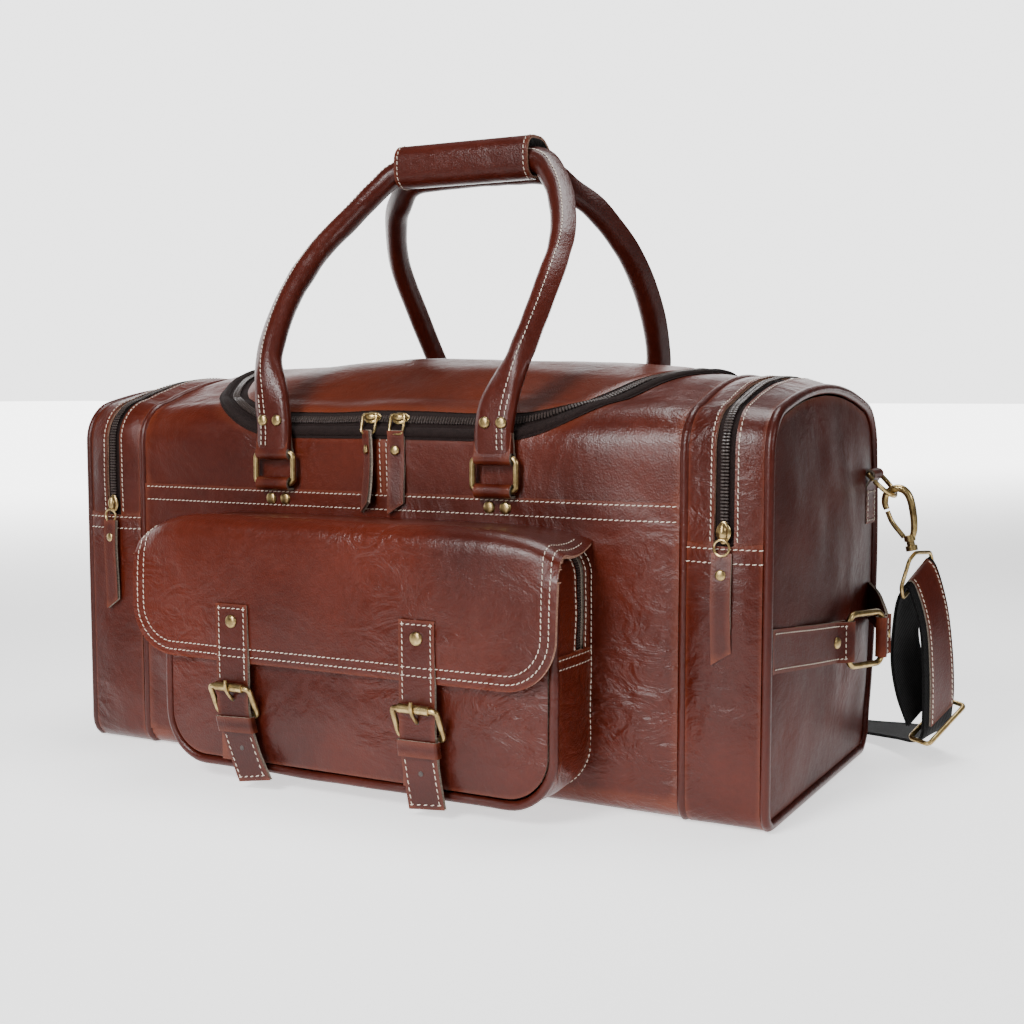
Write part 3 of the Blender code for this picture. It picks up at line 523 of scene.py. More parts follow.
def rear_push(x, z):
    """Near its ends the stuffed bag rounds out at the back and tucks in at its foot."""
    ends = np.clip((np.abs(x) - 0.115) / 0.10, 0, 1)
    full = np.sin(np.clip((z - 0.035) / 0.235, 0, 1) * pi)
    return eased(ends) * (0.0130 * full - 0.0110 * np.clip(1 - z / 0.060, 0, 1) ** 2)


def body_place(x, y, z):
    rise = EXTRA_DOME * (1 - np.minimum(np.abs(x) / HALF_LENGTH, 1) ** 2)
    corner = HALF_DEPTH - TOP_RADIUS
    bump = np.where(z > CORNER_Z, np.maximum(1 - (y / corner) ** 2, 0), 0)
    z = z + rise * bump
    return np.stack([x, y + rear_push(x, z) * np.clip((y - 0.085) / 0.03, 0, 1), z], axis=-1)


def body_swell(x, s, point):
    """The leather stands proud between its seams and is a little uneven."""
    a = np.abs(x)
    main = 0.0020 * (1 - np.minimum(a / SEAM_X, 1) ** 12)
    t = np.clip((a - SEAM_X) / (END_PIPE_X - SEAM_X), 0, 1) * 2 - 1
    end = 0.0038 * (1 - t ** 2)
    free = np.clip((point[..., 2] - 0.006) / 0.04, 0, 1)
    uneven = 0.0012 * ripple(point, 0.11, 3) + 0.0005 * ripple(point, 0.045, 4)
    seam = np.minimum(np.abs(a - SEAM_X), np.abs(a - END_PIPE_X)) / 0.012
    return free * (np.where(a < SEAM_X, main, end) + uneven * np.clip(seam, 0, 1))


BODY = Skin(body_outline(), body_place, body_swell)
BACK_FOOT = next(s for s, (y, z) in zip(BODY.s, BODY.pts) if y > 0.12 and abs(z - BASE_RADIUS) < 1e-6)


def s_front(z):
    return z - BASE_RADIUS


def s_back(z):
    return BACK_FOOT - (z - BASE_RADIUS)


def s_over(y):
    """Distance round the skin where the top is at this depth."""
    upper = (BODY.s < BACK_FOOT) & (BODY.pts[:, 1] > CORNER_Z)
    return float(np.interp(y, BODY.pts[upper, 0], BODY.s[upper]))


def patch(name, x_range, s_range, replaces=(), lift=0.0, steps=(40, 60), **more):
    xs, ss = np.linspace(*x_range, steps[0])[:, None], np.linspace(*s_range, steps[1])
    return sheet(name, BODY.at(xs, ss, lift)[0], THICK, "bag", replaces, **more)


def body_row(xs, ss, lift=0.0):
    stitch("bag", *BODY.at(xs, ss, lift))


# ---- main compartment ----
LID_EDGE, TEETH = (0.1765, s_front(0.2630)), (0.1850, s_front(0.2550))
TAPE_EDGE = (0.1975, s_front(0.2427))
TOOTH_PITCH, COIL_HALF = 0.0021, 0.0012
CORNER_X, CORNER_S, REAR_S = 0.090, s_over(-0.010), s_over(HINGE_Y)


def u_shape(half_x, front_s, rear_s=REAR_S):
    """Outline of the lid and its zip on the skin: rear left, round the front, to rear right."""
    a = np.linspace(0, pi / 2, 40)
    corner = np.stack([blend(CORNER_X, half_x, np.sin(a)), blend(CORNER_S, front_s, np.cos(a))], 1)
    front = np.stack([np.linspace(0, CORNER_X, 24)[:-1], np.full(23, front_s)], 1)
    side = np.stack([np.full(24, half_x), np.linspace(CORNER_S, rear_s, 24)], 1)[1:]
    right = np.concatenate([front, corner, side])
    return np.concatenate([right[:0:-1] * (-1, 1), right])


def upper_panels():
    """From the opening's edge out to the seams, along rays from the middle, and split at the centre."""
    centre, rear = (s_front(SEAM_Z) + s_back(SEAM_Z)) / 2, s_over(HINGE_Y + 0.0008)
    outline = u_shape(*TAPE_EDGE, rear_s=rear)
    outline = outline[len(outline) // 2:]
    outline = np.concatenate([outline, [(x, rear) for x in np.linspace(outline[-1][0], 0, 40)[1:]]])
    x, s = outline[:, 0], outline[:, 1] - centre
    half_s = centre - s_front(SEAM_Z - 0.003)
    corners = np.arctan2((-half_s, half_s, rear - centre), (SEWN_X, SEWN_X, TAPE_EDGE[0]))
    rays = np.sort(np.concatenate([np.linspace(-pi / 2, pi / 2, 90), corners]))
    inner = np.interp(rays, np.arctan2(s, x), np.hypot(s, x))
    sideways, upward = np.maximum(np.cos(rays), 1e-9), np.maximum(np.abs(np.sin(rays)), 1e-9)
    outer = np.minimum(SEWN_X / sideways, half_s / upward)
    reach = blend(inner[:, None], outer[:, None], np.linspace(0, 1, 16))
    for side, sign in SIDES:
        points, _ = BODY.at(sign * reach * np.cos(rays)[:, None], centre + reach * np.sin(rays)[:, None])
        sheet(f"upper_leather_{side}", points, THICK, "bag", [f"upper_panel_{side}"], flip=sign > 0)
    climb = np.linspace(s_front(SEAM_Z) + 0.001, TAPE_EDGE[1] - 0.001, 30)
    for x in (-0.0027, 0.0027):
        body_row(x, climb, 0.0001)
        body_row(x, np.linspace(s_over(HINGE_Y) + 0.004, s_back(SEAM_Z) - 0.001, 30), 0.0001)
    points, _ = BODY.at([[-0.0007], [0.0007]], climb, 0.0002)
    sheet("centre_seam", points, 0.0006, "bag", top=STRAP_HIDE)


def lid():
    half, front = LID_EDGE
    across = np.sin(np.linspace(-pi / 2, pi / 2, 90))[:, None] * half
    bend = np.sqrt(np.clip(1 - (np.maximum(np.abs(across) - CORNER_X, 0) / (half - CORNER_X)) ** 2, 0, 1))
    start = np.where(np.abs(across) < CORNER_X, front, blend(CORNER_S, front, bend))
    share = np.linspace(0, 1, 56)
    edge = np.minimum(share / 0.05, 1) * np.minimum((1 - np.abs(across) / half) / 0.03, 1)
    points, _ = BODY.at(across, blend(start, REAR_S, share), 0.0004 + 0.0010 * np.sqrt(np.clip(edge, 0, 1)))
    # The lid's lighter leather colour is painted light on its upward face.
    sheet("lid_leather", points, THICK, "lid", ["lid"], top=LIT_LID_HIDE)


def main_zip():
    """The lid's tape, the body's tape with its fold, and the coil between them."""
    teeth, outer_line = u_shape(*TEETH), u_shape(*TAPE_EDGE)
    for part, body, near, far_, reach, lifts, roll in (
            ("lid", "lid", u_shape(*LID_EDGE), teeth, (-0.08, 1.0), (-0.0002, -0.0008), 0.0004),
            ("body", "bag", teeth, outer_line, (0, 1.10), (-0.0008, 0.0006), 0.0012)):
        share = np.linspace(*reach, 8)
        xs, ss = (blend(near[:, None, i], far_[:, None, i], share) for i in (0, 1))
        lift = blend(*lifts, share) + roll * np.sin(np.clip(share, 0, 1) * pi)
        points, _ = BODY.at(xs, ss, lift + 0 * xs)
        sheet(f"{part}_tape_cloth", points, 0.0011, body, [f"main_zip_{part}_tape"], top=TAPE, under=TAPE,
              rim=TAPE, flip=True)
    points, normals = BODY.at(*blend(teeth, outer_line, 0.70).T, 0.0007)
    sweep("tape_fold", points, normals, circle(0.0035, 12, 0.62), [TAPE], "bag")
    path = resample(teeth, pitch=TOOTH_PITCH)
    ahead = unit(np.gradient(path, axis=0))
    outward = np.stack([-ahead[:, 1], ahead[:, 0]], 1)
    for body, offset in (("lid", -COIL_HALF), ("bag", COIL_HALF)):
        at = path + outward * offset
        points, normals = BODY.at(*at.T, 0.0012)
        tips, _ = BODY.at(*(at + outward * 0.001).T, 0.0012)
        grains("zip_teeth", body, points, tips - points, normals, 0.0029, 0.00076)


def main_compartment():
    seam = s_front(SEAM_Z)
    for name, s_range in (("front", (s_front(SEWN_Z), seam)), ("rear", (BACK_FOOT - seam, s_back(SEWN_Z)))):
        patch(f"{name}_panel_leather", (-SEWN_X, SEWN_X), s_range, [f"{name}_panel"], 0.0009, (110, 60),
              top=SOFT_HIDE, rim=PALE_EDGE)
    patch("base_leather", (-SEWN_X, SEWN_X), (BACK_FOOT - 0.001, BODY.length + 0.001), ["base_panel"],
          steps=(40, 40))
    for z in (SEAM_Z - 0.0022, SEAM_Z - 0.0120):
        for s in (s_front(z), s_back(z)):
            body_row(np.linspace(-0.216, 0.216, 200), s, 0.0010)
    upper_panels()
    lid()
    main_zip()


# ---- end pockets ----
def end_pocket(side, sign):
    near, far_, split = SEAM_X + 0.0026, END_PIPE_X - 0.0026, 0.0066
    low_s, high_s = s_front(END_ZIP_Z - 0.001), s_back(END_ZIP_Z - 0.001)
    for name, edges in (("inner", (near, END_ZIP_X - split)), ("outer", (END_ZIP_X + split, far_))):
        patch(f"end_gusset_{name}_{side}", sorted(sign * x for x in edges), (low_s, high_s), steps=(10, 170),
              rim=PALE_EDGE)
    # The lower gusset laps over the zip's end, its cut edge dipping in the middle.
    xs = np.linspace(*sorted((sign * near, sign * far_)), 26)[:, None]
    dip = 0.0022 * np.sin(pi * (np.abs(xs) - near) / (far_ - near))
    start, end = s_back(END_ZIP_Z + 0.0010) + dip, BODY.length + s_front(END_ZIP_Z + 0.0010) - dip
    points, _ = BODY.at(xs, blend(start, end, np.linspace(0, 1, 150)), 0.0009)
    sheet(f"end_gusset_low_{side}", points, THICK, "bag", [f"end_gusset_{side}"], top=SOFT_HIDE,
          rim=PALE_EDGE)
    for drop in (0.0028, 0.0115):
        for where in (s_front(END_ZIP_Z - drop), s_back(END_ZIP_Z - drop)):
            body_row(np.linspace(sign * (near + 0.001), sign * (far_ - 0.001), 24), where, 0.0010)
    tape = sorted(sign * (END_ZIP_X + x) for x in (-0.0090, 0.0090))
    patch(f"end_zip_cloth_{side}", tape, (low_s - 0.006, high_s + 0.006), [f"end_zip_{side}"], -0.0025,
          (6, 170), top=TAPE, rim=TAPE)
    run = np.linspace(low_s + 0.004, high_s - 0.004, 300)
    points, normals = BODY.at(sign * END_ZIP_X, run, -0.0002)
    path = resample(points, pitch=TOOTH_PITCH)
    normals = nearest(path, points, normals)
    across = unit(np.cross(unit(np.gradient(path, axis=0)), normals))
    for offset in (-COIL_HALF, COIL_HALF):
        grains("zip_teeth", "bag", path + across * offset, across, normals, 0.0027, 0.00070)
    for off in (-split - 0.0022, split + 0.0022):
        body_row(sign * (END_ZIP_X + off), run, 0.0001)
    for at, name in ((SEAM_X, "seam"), (END_PIPE_X, "end")):
        ss = np.linspace(0, BODY.length, 200, endpoint=False)
        points, normals = BODY.at(sign * at, ss, -0.0012)
        points[:, 2] = np.maximum(points[:, 2], PIPING + 0.0002)
        sweep(f"piping_{name}_{side}", points, normals, circle(PIPING, 10), [STRAP_HIDE], "bag", closed=True)

    end_panel(side, sign)


def end_panel(side, sign):
    """Drawn in from the piping and slightly swollen."""
    y_max = HALF_DEPTH - 0.0055
    ys = np.sin(np.linspace(-pi / 2, pi / 2, 64)) * y_max
    foot = HALF_DEPTH - BASE_RADIUS
    drop = np.maximum(np.abs(ys) - foot + 0.0015, 0)
    z_low = BASE_RADIUS - np.sqrt(np.maximum((BASE_RADIUS - 0.0055) ** 2 - drop ** 2, 0))
    tops = (BODY.s < BACK_FOOT) & (BODY.pts[:, 1] > CORNER_Z - 1e-6)
    z_high = np.interp(ys * HALF_DEPTH / y_max, BODY.pts[tops, 0], BODY.pts[tops, 1]) - 0.0055
    share = np.linspace(0, 1, 60)[None, :]
    zs = blend(z_low[:, None], z_high[:, None], share)
    yy = ys[:, None] + zs * 0
    u, v = yy / y_max, share * 2 - 1
    flat = np.stack([zs * 0 + 0.278, yy, zs], -1)
    hem = (1 - u ** 6) * (1 - v ** 6)
    swell = 0.0075 * (1 - u ** 2) * (1 - v ** 2) + 0.0018 * (1 - u ** 8) * (1 - v ** 8)
    swell = swell + (0.0013 * ripple(flat, 0.10, 21) + 0.0007 * ripple(flat, 0.05, 22)) * hem
    yy = yy + rear_push(0.28, zs) * np.clip(yy / HALF_DEPTH, 0, 1) ** 2
    points = np.stack([sign * (0.2768 + swell), yy, zs], -1)
    # The end panel's darker leather colour is painted shade.
    sheet(f"end_leather_{side}", points, THICK, "bag", [f"end_panel_{side}"], top=SHADED_END_HIDE, flip=sign < 0)


# ---- front pocket ----
POCKET_LOW, POCKET_HIGH = low("pocket_gusset", "z"), high("pocket_gusset", "z")
POCKET_MID = mid("pocket_gusset", "x")
POCKET_HALF = (high("pocket_gusset", "x") - low("pocket_gusset", "x")) / 2
POCKET_FACE = low("pocket_gusset", "y")
POCKET_ZIP_Y = mid("pocket_zip", "y")
POCKET_ZIP_Z = low("pocket_zip", "z")


def pocket_place(y, x, z):
    return np.stack([x, y, z], axis=-1)


def pocket_swell(y, s, point):
    return 0.0005 * ripple(point, 0.06, 9) + 0.0012 * np.sin(np.clip((-y - 0.125) / 0.055, 0, 1) * pi)


def front_pocket():
    outline = rounded_box(POCKET_HALF - 0.001, POCKET_LOW + 0.0006, POCKET_HIGH, 0.034, 0.019, POCKET_MID, 10)
    start = max(i for i, (x, z) in enumerate(outline) if z < POCKET_LOW + 0.001 and x < POCKET_MID)
    outline = [(POCKET_MID, POCKET_LOW + 0.0006)] + outline[start + 1:] + outline[:start + 1]
    skin = Skin(outline, pocket_place, pocket_swell)
    skin_at = lambda depth, s, lift=0.0: skin.at(-np.asarray(depth), s, lift)
    low_right = np.interp(POCKET_ZIP_Z, skin.pts[8:14, 1], skin.s[8:14])
    low_left = skin.length - low_right

    def strip(name, depths, s_range, lift=0.0, **more):
        points, _ = skin_at(np.linspace(*depths, 10)[:, None], np.linspace(*s_range, 150), lift)
        sheet(name, points, THICK, "bag", flip=True, **more)

    def row(depth, s, lift=0.0010):
        stitch("bag", *skin_at(depth, s, lift))

    face, back, zip_y = -POCKET_FACE, HALF_DEPTH + 0.0012, -POCKET_ZIP_Y
    strip("pocket_gusset_low", (back, face - 0.0035), (low_left, skin.length + low_right), 0.0008,
          rim=PALE_EDGE, replaces=["pocket_gusset"])
    strip("pocket_gusset_back", (back, zip_y - 0.0055), (low_right - 0.004, low_left + 0.004))
    strip("pocket_gusset_front", (zip_y + 0.0055, face - 0.0035), (low_right - 0.004, low_left + 0.004))
    strip("pocket_zip_cloth", (zip_y - 0.008, zip_y + 0.008), (low_right - 0.008, low_left + 0.008), -0.0022,
          top=TAPE, rim=TAPE, replaces=["pocket_zip"])
    run = np.linspace(low_right + 0.002, low_left - 0.002, 300)
    points, normals = skin_at(zip_y, run, -0.0012)
    path = resample(points, pitch=0.0016)
    grains("zip_teeth", "bag", path, (0, 1, 0), nearest(path, points, normals), 0.0040, 0.00062)
    for off in (-0.0080, 0.0080):
        row(zip_y + off, run, 0.0001)
    for s_end, up in ((low_right, -1), (low_left, 1)):
        for gap in (0.0025, 0.0085):
            row(np.linspace(back + 0.004, face - 0.008, 20), s_end + up * gap)
    ss = np.linspace(0, skin.length, 220, endpoint=False)
    points, normals = skin_at(face - 0.0028, ss, -0.0006)
    sweep("pocket_piping", points, normals, circle(0.0032, 10), [STRAP_HIDE], "bag", closed=True)
    row(back + 0.0032, np.linspace(0.03, skin.length - 0.03, 200))
    # Stitching flange where the gusset meets the body, its cut edge showing.
    points, normals = skin_at(back, np.linspace(0.02, skin.length - 0.02, 180))
    flange = np.stack([points + normals * a + (0, 0.0002, 0) for a in (-0.001, 0.0035)], 0)
    sheet("pocket_flange", flange, 0.0020, "bag", top=STRAP_HIDE, rim=PALE_EDGE)
    pocket_face()

    x = low("pocket_pull", "x")
    z_top, z_low = high("pocket_pull", "z"), low("pocket_pull", "z")
    tab = [[(x - 0.0085 * t, POCKET_ZIP_Y + w, blend(z_top, z_low, t) + 0.5 * (w + 0.0045) * (t > 0.95))
            for w in (-0.0045, -0.0015, 0.0015, 0.0045)] for t in np.linspace(0, 1, 16)]
    strap("pocket_pull_leather", tab, 0.0020, "pocket_pull", ["pocket_pull"])


def pocket_face():
    """Face of the pocket, drawn in at the piping and slightly filled."""
    half = POCKET_HALF - 0.0052
    bottom, top = POCKET_LOW + 0.0055, POCKET_HIGH - 0.0045
    u = np.sin(np.linspace(-pi / 2, pi / 2, 110))[:, None]
    share = np.linspace(0, 1, 70)
    edge = half * (1 - np.abs(u))
    zs = blend(bottom + corner_cut(0.030, edge), top - corner_cut(0.015, edge), share)
    xx, v = POCKET_MID + half * u + zs * 0, share * 2 - 1
    flat = np.stack([xx, zs * 0, zs], -1)
    swell = (0.0030 + 0.0010 * ripple(flat, 0.09, 31)) * (1 - u ** 6) * (1 - v ** 6)
    sheet("pocket_face", np.stack([xx, POCKET_FACE + 0.0008 - swell, zs], -1), THICK, "bag", ["pocket_front"],
          top=SOFT_HIDE)


# ---- flap, straps and buckles ----
def flap_profile():
    """Outer face of the flap from its hinge forward and down, as (y, z)."""
    y, z = -0.1268, 0.1865
    bend = (-0.1745, 0.1735)
    pts = [(y + 0.0006, z + 0.0010), (-0.140, 0.1874), (-0.158, 0.1878), (bend[0], bend[1] + 0.0145)]
    pts += arc(bend, 0.0145, pi / 2, pi, 8)[1:]
    pts += [(-0.1892, 0.150), (-0.1893, 0.120), (-0.1890, FLAP_LOW_Z)]
    return resample(pts, count=90)


def flap_and_straps():
    profile = flap_profile()
    run = travelled(profile)
    total, corner = run[-1], 0.036

    def on_flap(x, s, lift=0.0):
        x, s = np.broadcast_arrays(np.asarray(x, float), np.asarray(s, float))
        along = lambda at: (np.interp(at, run, profile[:, 0]), np.interp(at, run, profile[:, 1]))
        (y, z), before, after = along(s), along(s - 0.001), along(s + 0.001)
        flat = np.stack([x, s, s * 0], -1)
        u = (x - FLAP_X) / FLAP_HALF
        swell = 0.0018 * (1 - u ** 4) * np.sin(np.clip(s / total, 0, 1) * pi)
        soft = (0.0012 * ripple(flat, 0.12, 41) + swell) * np.clip((s - 0.025) / 0.04, 0, 1)
        normal = unit(np.stack([x * 0, after[1] - before[1], before[0] - after[0]], -1))
        back = eased(1 - np.clip(s / 0.085, 0, 1))
        droop = np.sin(np.clip(s / 0.085, 0, 1) * pi) ** 0.7
        x = x - np.sign(u) * np.abs(u) ** 5 * back * np.where(u < 0, 0.020, 0.003)
        z = z - np.abs(u) ** 8 * (0.0120 * droop + 0.006 * back)
        y = y + 0.0050 * np.abs(u) ** 8 * np.exp(-((s - 0.062) / 0.025) ** 2)
        return np.stack([x, y, z], -1) + normal * (np.clip(soft, -0.0005, 0.0022) + lift)[..., None], normal

    u = np.sin(np.linspace(-pi / 2, pi / 2, 100))[:, None]
    ss = (total - corner_cut(corner, FLAP_HALF * (1 - np.abs(u)))) * np.linspace(0, 1, 80)
    points, _ = on_flap(FLAP_X + FLAP_HALF * u, ss)
    sheet("flap_leather", points, 0.0026, "pocket_flap", ["pocket_flap"], top=HIDE, rim=PALE_EDGE, flip=True)
    for inset in (0.0045, 0.0100):
        reach, r = FLAP_HALF - corner, corner - inset
        left = [(inset - FLAP_HALF, s) for s in np.linspace(0.012, total - corner, 40)]
        left += [(-reach - r * cos(a), total - corner + r * sin(a)) for a in np.linspace(0, pi / 2, 16)[1:-1]]
        bottom = [(x, total - inset) for x in np.linspace(-reach, reach, 90)]
        line = np.array(left + bottom + [(-x, s) for x, s in left[::-1]])
        stitch("pocket_flap", *on_flap(FLAP_X + line[:, 0], line[:, 1], 0.0001))
    for side, x in STRAP_X.items():
        buckled_strap(side, x)


def buckled_strap(side, x):
    back = high(f"flap_strap_{side}", "y")
    tip, top = low(f"flap_strap_{side}", "z"), high(f"flap_strap_{side}", "z")
    slant, sway = (0.0045, 0.34) if side == "left" else (0.0025, 0.13)
    stray = lambda z: sway * np.maximum(0.058 - z, 0) ** 1.35 / 0.058 ** 0.35
    bar_low, bar_high = (-0.1857, 0.0510), (back - 0.0059, 0.0715)
    # The strap lifts over the buckle's lower bar, runs behind the roller and through the keeper.
    drop = [(back - 0.0028, top), (back - 0.0028, 0.110), (back - 0.0026, 0.085), (back - 0.0026, 0.060),
            (back - 0.0030, 0.040), (back - 0.0022, 0.020), (back - 0.0018, tip)]
    line = resample(curve(drop, 10), count=60)
    y, z = line.T[..., None]
    w = np.linspace(-1, 1, 9)
    cut = slant * (w + 1) / 2 * np.clip((0.024 - z) / 0.02, 0, 1)
    grid = np.stack([x + w * STRAP_HALF + stray(z), y + w * 0, z + cut], -1)
    strap(f"strap_leather_{side}", grid, 0.0023, "pocket_flap", [f"flap_strap_{side}"])
    face = lambda zs: np.interp(zs, line[::-1, 1], line[::-1, 0]) - 0.0001
    for z_range in ((top - 0.003, 0.078), (0.036, tip + 0.004)):
        for w in (-1, 1):
            rise = (slant if w > 0 else 0.0) if z_range[1] < 0.03 else 0.0
            zz = np.linspace(z_range[0], z_range[1] + rise, 30)
            xx = x + w * (STRAP_HALF - 0.0028) + stray(zz)
            stitch("pocket_flap", np.stack([xx, face(zz), zz], 1), (0, -1, 0))
    xs = np.linspace(x - STRAP_HALF + 0.003, x + STRAP_HALF - 0.003, 12)
    for z in (top - 0.003, FLAP_LOW_Z + 0.0045, FLAP_LOW_Z + 0.0100):
        stitch("pocket_flap", np.stack([xs, face(xs * 0 + z), xs * 0 + z], 1), (0, -1, 0))
    zs = tip + 0.003 + slant * (xs - x + STRAP_HALF) / (2 * STRAP_HALF)
    stitch("pocket_flap", np.stack([xs + stray(zs), face(zs), zs], 1), (0, -1, 0))
    rivet("pocket_flap", (x, face(top - 0.012), top - 0.012), (0, -1, 0), 0.0046, 0.0020)
    # Each strap hole is a short dark plug of the zip coil's plastic: its darkness is painted shade inside the
    # hole.
    for z in (0.0290, 0.0625):
        hole = x + stray(z)
        ends = [(hole, face(z) + 0.0008, z), (hole, face(z) - 0.0002, z)]
        sweep(f"strap_hole_{side}_{int(z * 1e4)}", ends, (0, 0, 1), circle(0.0017, 14), [COIL], "pocket_flap")

    buckle(side, x, back, bar_low, bar_high)

    chape = [(back + 0.0022, 0.0180), (back + 0.0020, 0.0420)] + arc(bar_low, 0.0031, pi, -0.4, 10)
    strap(f"chape_leather_{side}", band(chape, x, STRAP_HALF, 5), 0.0012, "pocket_flap",
          [f"buckle_chape_{side}"], flip=True)
    keeper = rounded_box(STRAP_HALF + 0.0018, back - 0.0056, back + 0.0010, 0.0024, 0.0010, x, 5)
    grid = [[(px + stray(z), py, z + 0.12 * sway * (px - x)) for z in np.linspace(0.0505, 0.0400, 5)]
            for px, py in keeper]
    strap(f"keeper_leather_{side}", grid, 0.0016, "pocket_flap", around=True, flip=True)


def buckle(side, x, back, bar_low, bar_high):
    """Wire frame, roller on its upper bar, and prong."""
    reach = STRAP_HALF + 0.0035
    corners = np.array([(-reach, *bar_low), (reach, *bar_low), (reach, *bar_high), (-reach, *bar_high)])
    wire(f"buckle_wire_{side}", rounded(corners, 0.004, 7) + (x, 0, 0), (0.001, -1, 0.3), 0.0020,
         "pocket_flap", [f"buckle_frame_{side}"])
    roller = [(x + a, *bar_high) for a in (-0.0118, -0.0115, 0.0115, 0.0118)]
    sizes = [circle(r, 20) for r in (0.0026, 0.0031, 0.0031, 0.0026)]
    sweep(f"roller_{side}", roller, (0, 0, 1), sizes, [BRASS], "pocket_flap")
    prong = curve([(x, back - 0.0012, 0.0612), (x, back - 0.0044, 0.0640), (x, back - 0.0082, 0.0685),
                   (x, bar_high[0] - 0.0044, 0.0728), (x, bar_high[0] - 0.0040, 0.0768)], 6)
    wire(f"prong_{side}", prong, (0, -1, 0.4), 0.0013, "pocket_flap", closed=False, sides=10)


# ---- handles, rings and loops ----
def handle_line(sign, grip):
    near, far_ = RING_Y, abs(grip[0])
    half = [(RING_X, near, RING_HIGH_Z + 0.0030), (0.0905, near - 0.0004, 0.2520),
            (0.0945, near - 0.0030, 0.272), (0.1035, 0.1180, 0.302), (0.1070, 0.0920, 0.342),
            (0.1035, 0.0590, 0.380), (0.0890, 0.0310, 0.411), (0.0750, far_ + 0.0070, grip[1] - 0.0160),
            (0.0600, far_ + 0.0004, grip[1] - 0.0030), (0.0300, far_, grip[1] - 0.0005), (0.0, far_, grip[1])]
    half = [(x, sign * y, z) for x, y, z in half]
    return resample(curve(half + [(-x, y, z) for x, y, z in reversed(half[:-1])], 10), count=170)


HANDLE_RADIUS = 0.0086


def handle(end, sign, grip, body):
    path = handle_line(sign, grip)
    run = travelled(path)
    foot = eased(np.clip(1.60 - np.minimum(run, run[-1] - run) / 0.046, 0, 1))
    level = np.sign(path[:, :1]) * (1, 0, 0)
    outward = blend(unit(path - (0, sign * 0.07, 0.335)), level, foot[:, None])
    _, _, side, up = frames(path, outward)
    uneven = 1 + 0.03 * ripple(path, 0.022, 51 + sign)
    outlines = []
    for k, f in zip(uneven, foot):
        ring = np.array(circle(1.0, 20))
        flange = np.maximum(ring[:, 1:], 0) ** 14 * (0, 0.0030 * (1 - f))
        corner = np.max(np.abs(ring), axis=1, keepdims=True) ** 0.75
        outlines.append(blend(ring * HANDLE_RADIUS * k + flange, ring * (0.0040, 0.0140) / corner, f))
    sweep(f"handle_leather_{end}", path, outward, outlines, [STRAP_HIDE], body, [f"handle_{end}"], sharp=60)
    # Two rows of stitches on the outer flank, facing away from the other handle.
    flank = side * np.sign(side[:, 1:2] * sign)
    for height in (0.0045, 0.0084):
        out = blend(np.sqrt(np.maximum(0.0087 ** 2 - height ** 2, 0.0000045)), 0.0044, foot) + 0.0002
        stitch(body, (path + up * height + flank * out[:, None])[1:-1], (flank + up * 0.5)[1:-1])
    for number, name, x in ((0, "left", -RING_X), (1, "right", RING_X)):
        fold = [(RING_Y + 0.0016, 0.2480), (RING_Y + 0.0032, RING_HIGH_Z + 0.0045)]
        fold += arc((RING_Y, RING_HIGH_Z), 0.0048, 0.6, -pi - 0.6, 14)
        fold += [(RING_Y - 0.0032, RING_HIGH_Z + 0.0045), (RING_Y - 0.0016, 0.2480)]
        grid = band([(sign * py, z) for py, z in fold], x, FOLD_HALF, 7)
        strap(f"handle_fold_{end}_{number}", grid, 0.0022, body, flip=sign > 0)
        for w in (-RIVET_GAP, RIVET_GAP):
            place = (x + w + 0.0010 * np.sign(x), sign * (RING_Y + 0.0036), 0.2545)
            rivet(body, place, (0, sign, 0), 0.0040, 0.0020)
        ring_and_loop(end, sign, number, name, x)


def ring_and_loop(end, sign, number, name, x):
    """The wire ring, and the leather loop round its lower bar, tucked behind the lower panel's edge."""
    ring = rounded_box(0.0165, RING_LOW_Z, RING_HIGH_Z, 0.004, 0.004, x, 6)
    ring = [(a, sign * RING_Y, b) for a, b in ring]
    wire(f"ring_wire_{end}_{name}", ring, (0, 1, 0), 0.0021, f"{end}_rings", [f"handle_ring_{end}_{name}"])
    loop = [(HALF_DEPTH - 0.0010, SEAM_Z - 0.004), (HALF_DEPTH + 0.0022, SEAM_Z - 0.0005)]
    loop += arc((RING_Y, RING_LOW_Z), 0.0049, -1.35, 2.7, 14)
    loop += [(HALF_DEPTH + 0.0018, RING_LOW_Z + 0.003)]
    grid = band([(sign * y, z) for y, z in loop], x, FOLD_HALF, 7)
    more = [f"ring_loops_{end}"] if number == 0 else []
    strap(f"ring_loop_{end}_{number}", grid, 0.0016, "bag", more, flip=sign < 0)
    s = s_front(SEAM_Z - 0.0072) if sign < 0 else s_back(SEAM_Z - 0.0072)
    for w in (-RIVET_GAP, RIVET_GAP):
        rivet("bag", *BODY.at(x + w, s, 0.0010), 0.0043, 0.0018)


